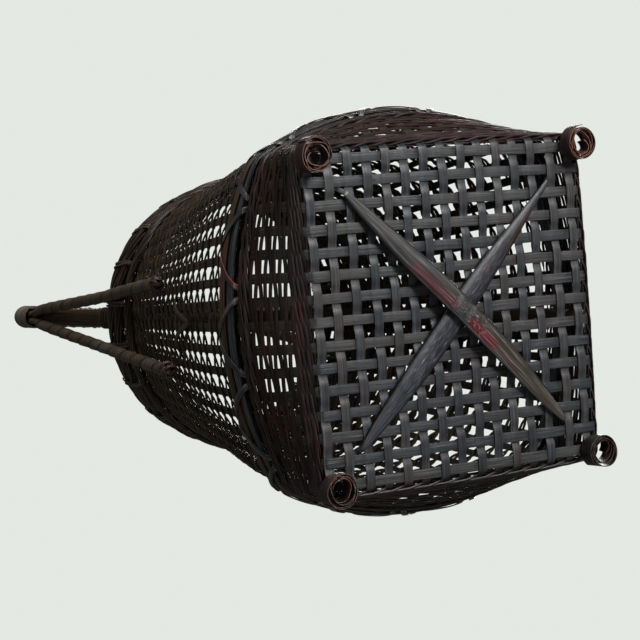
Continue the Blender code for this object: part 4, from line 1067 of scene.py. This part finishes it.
class BASKET_OT_handle(bpy.types.Operator):
    """Bend the bow, wrap its side rods and bind all three over the crown"""

    bl_idname = "basket.handle"
    bl_label = "Handle"

    def execute(self, context):
        tint = colours()
        bow = bamboo("smooth brown bow", tint.bow, (0.05, 0.02, 0.01), TAN, roughness=0.5,
                     coat=0.04, streaks=0.5, wear_and_sheen=0.12, gloss=0.25, edge_shade=0.3)
        pale = bamboo("pale top winding", tuple(1.9 * part for part in tint.wrap),
                      (0.05, 0.032, 0.018), (0.3, 0.26, 0.2), roughness=0.48, coat=0.06,
                      streaks=0.6, wear_and_sheen=0.6, grain=1.3, second=(0.09, 0.06, 0.035))
        wrap = bamboo("olive-grey wrapping", tint.wrap, (0.05, 0.032, 0.018), (0.24, 0.2, 0.14),
                      roughness=0.48, coat=0.06, streaks=0.6, wear_and_sheen=0.5, grain=1.3,
                      second=(0.05, 0.03, 0.014), edge_shade=0.04, edge_start=0.2, gloss=0.35)
        self.bend_bow(bow)
        self.wrap_rod("front", -1, wrap)
        self.wrap_rod("back", 1, wrap)
        self.wind_crown(pale)
        return {"FINISHED"}

    def bend_bow(self, material):
        """Smooth split bow from the mat over the crown and down to the mat again."""
        near, far = core_leg(NEAR), core_leg(FAR)
        crown = crown_frame(CROWN_ANGLES)[0]
        points = smooth(np.concatenate((near, crown, far[::-1])), BOW_STEPS)
        reach = np.arange(len(points)) / BOW_STEPS
        last = len(near) + len(crown)
        stops = (0, 7, 9, 10, last - 1, last, last + 2, len(reach) / BOW_STEPS)
        width, thickness = (np.interp(reach, stops, values + values[::-1])
                            for values in (BOW_WIDTHS, BOW_THICKNESSES))
        weave = Weave(710)
        weave.strand(points, (0, 1, 0), width, thickness, BOW_SECTION, tone=0.6)
        weave.finish("handle_bow", material, ("handle_core",))

    def wrap_rod(self, name, hand, material):
        """Side rod in a wrapping of one strip, each turn lapped over the one before."""
        line, taper = rod_line(hand)
        weave = Weave(720 + hand)
        travel = travelled(line)
        places = np.arange(0, travel[-1], ROD_STATION_STEP)
        diameter = sizes().rod_diameter * np.interp(places, travel, taper)
        around = (np.arange(len(ROUND)) + 0.5) / len(ROUND)
        drift = 0.12 * np.sin(places * 37) + 0.08 * np.sin(places * 83 + 1)
        turns = (places / sizes().wrap_pitch + drift)[:, None] + around
        share = turns % 1
        lap = LAP_START + LAP_RISE * share - LAP_ROUNDING * np.exp(
            -((1 - share) / LAP_EDGE) ** 2)
        tone = weave.random.uniform(0.1, 1.0, 200)[turns.astype(int)]
        # Each seam between turns is painted dark: painted shade in the groove where one turn laps
        # over the next.
        seam_shade = np.clip(2.4 - np.minimum(share, 1 - share) / 0.06, 0, 1)
        weave.strand(along_line(line, places), (0, 1, 0), diameter, diameter,
                     ROUND[None] * lap[..., None], tone=tone, edge=seam_shade, slant=FIBRE_SLANT)
        weave.finish(f"side_rod_{name}_wrapped", material, (f"side_rod_{name}",))

    def wind_crown(self, material):
        """Two layers of strip wound over the crown, round the bow and both rods."""
        weave = Weave(730)
        line, outward = crown_frame(WINDING_ANGLES)
        line = line + outward * WINDING_LIFT
        for pitch, radius, first_turn, width in WINDING_LAYERS:
            path, tangent, out = wrap_path(line, pitch, radius, first_turn)
            ripple = WINDING_RIPPLE * np.sin(np.arange(len(path)) / 9.0)
            squash = path + (0, 1, 0) * (out[:, 1:2] * WINDING_SQUASH)
            weave.strand(squash + out * ripple[:, None], tangent, width, WINDING_THICKNESS, FLAT)
        weave.finish("handle_top_winding", material, ("handle_binding",))


class BASKET_OT_bindings(bpy.types.Operator):
    """Wind the rings on the bow, tie its feet to the wall and knot the side rods"""

    bl_idname = "basket.bindings"
    bl_label = "Bindings and knots"

    def execute(self, context):
        tint = colours()
        wrap = bamboo("tan tie", (0.034, 0.022, 0.011), (0.05, 0.02, 0.012), (0.15, 0.1, 0.05),
                      roughness=0.45, coat=0.04, streaks=0.5, wear_and_sheen=0.4, gloss=0.35)
        rust = bamboo("rust knot", (0.045, 0.018, 0.009), tint.knot, (0.22, 0.12, 0.06),
                      roughness=0.45, coat=0.15, streaks=0.8, wear_and_sheen=0.5)
        for name, end in (("near", NEAR), ("far", FAR)):
            self.rings(name, end, wrap)
            self.tie(name, end, wrap)
            for label, hand in (("front", -1), ("back", 1)):
                self.knot(label, name, end, hand, rust)
        return {"FINISHED"}

    def rings(self, name, end, material):
        """Rings that lie close together round the bow, a little above the rim."""
        weave = Weave(810)
        angle = np.linspace(0, 2 * np.pi, 24, endpoint=False)
        shape = np.stack((np.cos(angle), np.sin(angle)), -1)
        shape = np.sign(shape) * np.abs(shape) ** 0.8
        ring = np.stack((shape[:, 1] * RING_RADII[0], shape[:, 0] * RING_RADII[1],
                         RING_RIPPLE * np.sin(angle)), axis=-1)
        for number in range(RINGS):
            centre = core_line(end, WALL_HEIGHT + RING_LIFT + RING_PITCH * number)
            weave.strand(centre + ring, (0, 0, 1), RING_WIDTH, RING_THICKNESS, closed=True)
        weave.finish(f"bow_rings_{name}", material, (f"core_binding_{name}",))

    def tie(self, name, end, material):
        """Loose tan strip that passes behind the bow and wavers over the wall."""
        weave = Weave(820)
        gap = 1 / STRIPS_EACH_WAY
        direction = -1 if end == NEAR else 1
        start = wall_point(end, TIE_LEVEL)
        spacing = np.linalg.norm(wall_point(end + gap, TIE_LEVEL) - start)
        across = handle_drift(start[0], TIE_LEVEL) / spacing
        middle = end + direction * round(float(across)) * gap
        stations = np.array([(middle + step * gap, level, out) for step, level, out in TIE_PLACES])
        point, *_, outward = wall_frame(stations[:, 0], stations[:, 1])
        outside = point + outward * stations[:, 2:]
        core = beside_handle(end, TIE_CORE_LEVEL, -CORE_INSET, 0)
        _, frame_along, _, frame_out = wall_frame(middle, TIE_CORE_LEVEL)
        inside = [core + frame_along * along + frame_out * out for along, out in TIE_INSIDE]
        path = smooth(np.concatenate((outside, inside)), TIE_STEPS, closed=True)
        run = np.gradient(outside, axis=0)
        upright = np.tile((0, 0, 0.01), (len(TIE_INSIDE), 1))
        sides = unit(np.concatenate((np.cross(outward, run), upright)))
        sides = smooth(sides, TIE_STEPS, closed=True)
        weave.strand(path, sides, TIE_WIDTH, TIE_THICKNESS, CROWNED, closed=True, tone=0.8)
        weave.finish(f"bow_tie_{name}", material, (f"core_tie_{name}",))

    def knot(self, label, name, end, hand, material):
        """Tangle of strip ends at the foot of a side rod."""
        leg = rod_leg(end, hand)
        axis = unit(leg[1] - leg[0])
        centre = leg[0] - axis * KNOT_DROP
        weave = Weave(830 + hand + (10 if name == "near" else 20))
        random = weave.random
        angle = np.linspace(0, 2 * np.pi, 26, endpoint=False)
        for loop in range(KNOT_LOOPS):
            normal = unit(random.normal(0, 1, 3) + axis * random.choice((-1.2, 1.2)))
            first = unit(np.cross(normal, random.normal(0, 1, 3)))
            second = np.cross(normal, first)
            radius = random.uniform(*KNOT_RADII) * (
                1 + 0.16 * np.sin(2 * angle + random.uniform(0, 6)))
            path = (centre + random.normal(0, KNOT_SCATTER, 3)
                    + first * (radius * np.cos(angle))[:, None]
                    + second * (radius * np.sin(angle))[:, None]
                    + normal * (KNOT_RIPPLE * np.sin(2 * angle + loop))[:, None])
            weave.strand(path, normal, random.uniform(*KNOT_WIDTHS), KNOT_THICKNESS, closed=True)
        weave.finish(f"knot_{label}_{name}_tangle", material, (f"knot_{label}_{name}",))


class BASKET_OT_bars(bpy.types.Operator):
    """Shave the crossed bars under the base and push their tips up through it"""

    bl_idname = "basket.bars"
    bl_label = "Crossed bars"

    def execute(self, context):
        # Both bars are painted much darker towards their edges, painted shade of their rounded
        # sides, and their pale threads are partly painted sheen.
        red = bamboo("dark red bar", (0.046, 0.046, 0.048), CRIMSON, (0.32, 0.34, 0.34),
                     roughness=0.32, coat=0.25, streaks=0.3, wear_and_sheen=0.7, marked=CRIMSON,
                     second=(0.044, 0.036, 0.027), contrast=1.2, edge_shade=0.08, edge_start=0.4)
        grey = bamboo("blue-grey bar", (0.023, 0.026, 0.032), (0.05, 0.026, 0.036),
                      (0.15, 0.165, 0.2), roughness=0.36, coat=0.12, streaks=0.4, wear_and_sheen=0.6,
                      marked=(0.04, 0.02, 0.012), contrast=1.2, edge_shade=0.08, edge_start=0.4)
        self.shave("inner", -1, 0.0, grey)
        self.shave("outer", 1, OUTER_BAR_BOW, red)
        return {"FINISHED"}

    def shave(self, name, way, bow, material):
        """One bar from tip to tip, thickest in its middle, with its tips up through the mat."""
        direction = np.array((1.0, way, 0.0)) / math.sqrt(2)
        travel = np.concatenate((np.linspace(0, BAR_LEAVE, 60), BAR_TIP_STATIONS))
        travel = np.concatenate((-travel[::-1], travel[1:]))
        far = np.abs(travel)
        width = sizes().bar_width * np.interp(travel, BAR_PLACES, BAR_SHARES[name])
        middle, *outer = BAR_THICKNESSES
        thick = np.interp(far, (0, BAR_SHAVED, BAR_LEAVE), (middle + bow * 0.2, *outer))
        sag = bow * np.cos(np.pi / 2 * np.minimum(far / BAR_LEAVE, 1)) ** 2
        level = -(BAR_GAP + sag + thick / 2)
        tips = far > BAR_LEAVE
        level[tips] = np.interp(far[tips], (BAR_LEAVE, BAR_ARRIVE, BAR_END), BAR_TIP_LEVELS)
        sway = BAR_SWAY * np.sin(travel * 31) * (far < BAR_LEAVE)
        side = np.cross(direction, (0.0, 0.0, 1.0))
        points = direction * travel[:, None] + side * sway[:, None]
        points[:, 2] = MAT_LEVEL + level
        across = BAR_SECTION[None, :, 0]
        low = across * side[1] > 0.1
        spot = travel[:, None]
        patches = sum(soft(spot, start, stop) * low * amount
                      for start, stop, amount in BAR_PATCHES[name])
        # On the inner bar the tone is painted light: lighter towards -X, darker towards +X.
        tone = np.interp(travel, *BAR_TONES_AND_LIGHT[name])
        if name == "outer":
            for place, reach, height in SCAR_BUMPS:
                thick = thick + height * np.exp(-((travel - place) / reach) ** 2)
            patches = patches + BAR_EDGE_RED * (np.abs(across) >= 0.97)
            tone = tone - SCAR_DARKENING * soft(travel, *SCAR_PATCH)
        weave = Weave(900 + way)
        weave.strand(points, side, width, thick, BAR_SECTION, tone=tone,
                     mark=np.clip(patches + 0 * spot * across, 0, 1))
        weave.finish(f"base_bar_{name}_shaved", material, (f"base_bar_{name}",))


class BASKET_OT_feet(bpy.types.Operator):
    """Roll the strip of each foot under its corner"""

    bl_idname = "basket.feet"
    bl_label = "Rolled feet"

    def execute(self, context):
        tint = colours()
        copper = bamboo("copper-brown roll", (0.009, 0.006, 0.005), (0.07, 0.012, 0.009),
                        (0.16, 0.08, 0.045), roughness=0.38, coat=0.3, streaks=0.7, wear_and_sheen=0.45,
                        cut=tint.copper)
        for name, sign_x, sign_y in (("front_left", -1, -1), ("front_right", 1, -1),
                                     ("back_right", 1, 1), ("back_left", -1, 1)):
            weave = Weave(950 + sign_x + 3 * sign_y)
            random = weave.random
            centre = np.array((sign_x * FOOT_PLACE, sign_y * FOOT_PLACE, FOOT_LENGTH / 2))
            start = math.atan2(sign_y, sign_x)
            for layer, (turns, inset, curl) in enumerate(FOOT_LAYERS):
                angle = np.linspace(0, 2 * np.pi * turns, int(46 * turns))
                share = angle / angle[-1]
                closing = share if layer == 0 else share * INNER_CLOSING
                radius = sizes().foot_radius - inset - FOOT_CLOSING * closing
                for wave in (1, 2, 3):
                    radius = radius + (FOOT_UNEVENNESS / wave) * (0.2 + share) * np.sin(
                        wave * angle + random.uniform(0, 6))
                radius = np.minimum(radius, sizes().foot_radius - FOOT_MARGIN)
                curled = np.clip((share - CURL_START) / CURL_SPAN, 0, 1) ** 1.6
                radius = radius * (1 - CURL_DEPTH * curl * curled)
                turned = angle + LAYER_TURN * layer + random.uniform(0, 1.5)
                around = start + sign_x * sign_y * turned
                width = FOOT_LENGTH - 0.0002 - LAYER_NARROWING * layer
                path = centre + np.stack((np.cos(around) * radius, np.sin(around) * radius,
                                          LAYER_RIPPLE * layer * np.sin(angle)), axis=-1)
                weave.strand(path, (0, 0, 1), width, ROLL_THICKNESS, FLAT, tone=0.3 + 0.3 * layer)
            weave.finish(f"foot_{name}_rolled", copper, (f"foot_{name}",))
        return {"FINISHED"}


def placed(right, up, back, place):
    """Matrix of an object that stands at a place with its axes along three directions."""
    return Matrix([row for row in zip(right, up, back, place)] + [(0, 0, 0, 1)])


class BASKET_OT_stage(bpy.types.Operator):
    """Lay a pale floor, light the basket softly and set the camera at the photograph's angle"""

    bl_idname = "basket.stage"
    bl_label = "Stage"

    def execute(self, context):
        scene = context.scene
        self.floor()
        scene.view_settings.view_transform = "Standard"
        self.room(scene)
        for name, (place, aim, size, power) in LIGHTS.items():
            self.light(name, place, aim, size, power)
        camera = bpy.data.cameras.new("photograph")
        camera.lens = CAMERA_LENS
        camera.sensor_width = CAMERA_SENSOR
        holder = bpy.data.objects.new("photograph", camera)
        matrix = placed(CAMERA_RIGHT, CAMERA_UP, CAMERA_BACK, CAMERA_PLACE)
        holder.matrix_world = matrix.to_quaternion().to_matrix().to_4x4()
        holder.location = CAMERA_PLACE
        context.collection.objects.link(holder)
        scene.camera = holder
        return {"FINISHED"}

    def room(self, scene):
        """Pale walls to look at, which light the basket more softly than they look."""
        world = bpy.data.worlds.new("pale room")
        world.use_nodes = True
        tree = world.node_tree
        back = tree.nodes["Background"]
        back.inputs["Color"].default_value = (0.78, 0.81, 0.77, 1)
        path = tree.nodes.new("ShaderNodeLightPath")
        strength = tree.nodes.new("ShaderNodeMapRange")
        strength.inputs["To Min"].default_value = 0.08
        tree.links.new(path.outputs["Is Camera Ray"], strength.inputs["Value"])
        tree.links.new(strength.outputs["Result"], back.inputs["Strength"])
        scene.world = world

    def floor(self):
        """Pale floor that is solid seen from above and clear seen from below."""
        bpy.ops.object.select_all(action="DESELECT")
        bpy.ops.mesh.primitive_circle_add(vertices=96, radius=2.6, fill_type="NGON")
        floor = bpy.context.object
        floor.name = "floor"
        graph = Graph("pale floor")
        graph.shader.inputs["Base Color"].default_value = (*colours().stage, 1)
        graph.shader.inputs["Roughness"].default_value = 0.7
        graph.shader.inputs["Emission Color"].default_value = (*colours().stage, 1)
        graph.shader.inputs["Emission Strength"].default_value = 0.35
        below = graph.add("ShaderNodeNewGeometry").outputs["Backfacing"]
        clear = graph.add("ShaderNodeBsdfTransparent")
        mixed = graph.add("ShaderNodeMixShader", {0: below, 1: graph.shader.outputs[0],
                                                  2: clear.outputs[0]})
        output = graph.tree.nodes["Material Output"]
        graph.tree.links.new(mixed.outputs[0], output.inputs["Surface"])
        floor.data.materials.append(graph.material)
        floor.visible_diffuse = floor.visible_glossy = False
        floor.visible_transmission = floor.visible_shadow = False

    def light(self, name, place, aim, size, power):
        """Soft square light at a place, turned to a point."""
        lamp = bpy.data.lights.new(name, "AREA")
        lamp.size = size
        lamp.energy = power
        holder = bpy.data.objects.new(name, lamp)
        way = unit(np.array(aim, float) - np.array(place, float))
        side = unit(np.cross(way, (0.0, 0.0, 1.0)))
        top = np.cross(side, way)
        holder.matrix_world = placed(side, top, -way, place)
        bpy.context.collection.objects.link(holder)


OPERATORS = (
    BASKET_OT_strips, BASKET_OT_upper_wall, BASKET_OT_lower_wall, BASKET_OT_shoulder, BASKET_OT_rim,
    BASKET_OT_handle, BASKET_OT_bindings, BASKET_OT_bars, BASKET_OT_feet, BASKET_OT_stage,
)


class VIEW3D_PT_basket(bpy.types.Panel):
    """Buttons that make the basket piece by piece, with its sizes and colours"""

    bl_label = "Basket"
    bl_idname = "VIEW3D_PT_basket"
    bl_space_type = "VIEW_3D"
    bl_region_type = "UI"
    bl_category = "Basket"

    def draw(self, context):
        for kind in OPERATORS:
            self.layout.operator(kind.bl_idname)
        for group in (context.scene.basket_sizes, context.scene.basket_colours):
            column = self.layout.column()
            for key in group.__annotations__:
                column.prop(group, key)


CLASSES = (BasketSizes, BasketColours, *OPERATORS, VIEW3D_PT_basket)


def register():
    """Add the basket's classes and settings."""
    for kind in CLASSES:
        bpy.utils.register_class(kind)
    bpy.types.Scene.basket_sizes = PointerProperty(type=BasketSizes)
    bpy.types.Scene.basket_colours = PointerProperty(type=BasketColours)


def unregister():
    """Take the basket's classes and settings away."""
    del bpy.types.Scene.basket_colours
    del bpy.types.Scene.basket_sizes
    for kind in reversed(CLASSES):
        bpy.utils.unregister_class(kind)


def main():
    """Make every piece in turn."""
    register()
    bpy.ops.basket.strips()
    bpy.ops.basket.upper_wall()
    bpy.ops.basket.lower_wall()
    bpy.ops.basket.shoulder()
    bpy.ops.basket.rim()
    bpy.ops.basket.handle()
    bpy.ops.basket.bindings()
    bpy.ops.basket.bars()
    bpy.ops.basket.feet()
    bpy.ops.basket.stage()


if __name__ == "__main__":
    main()
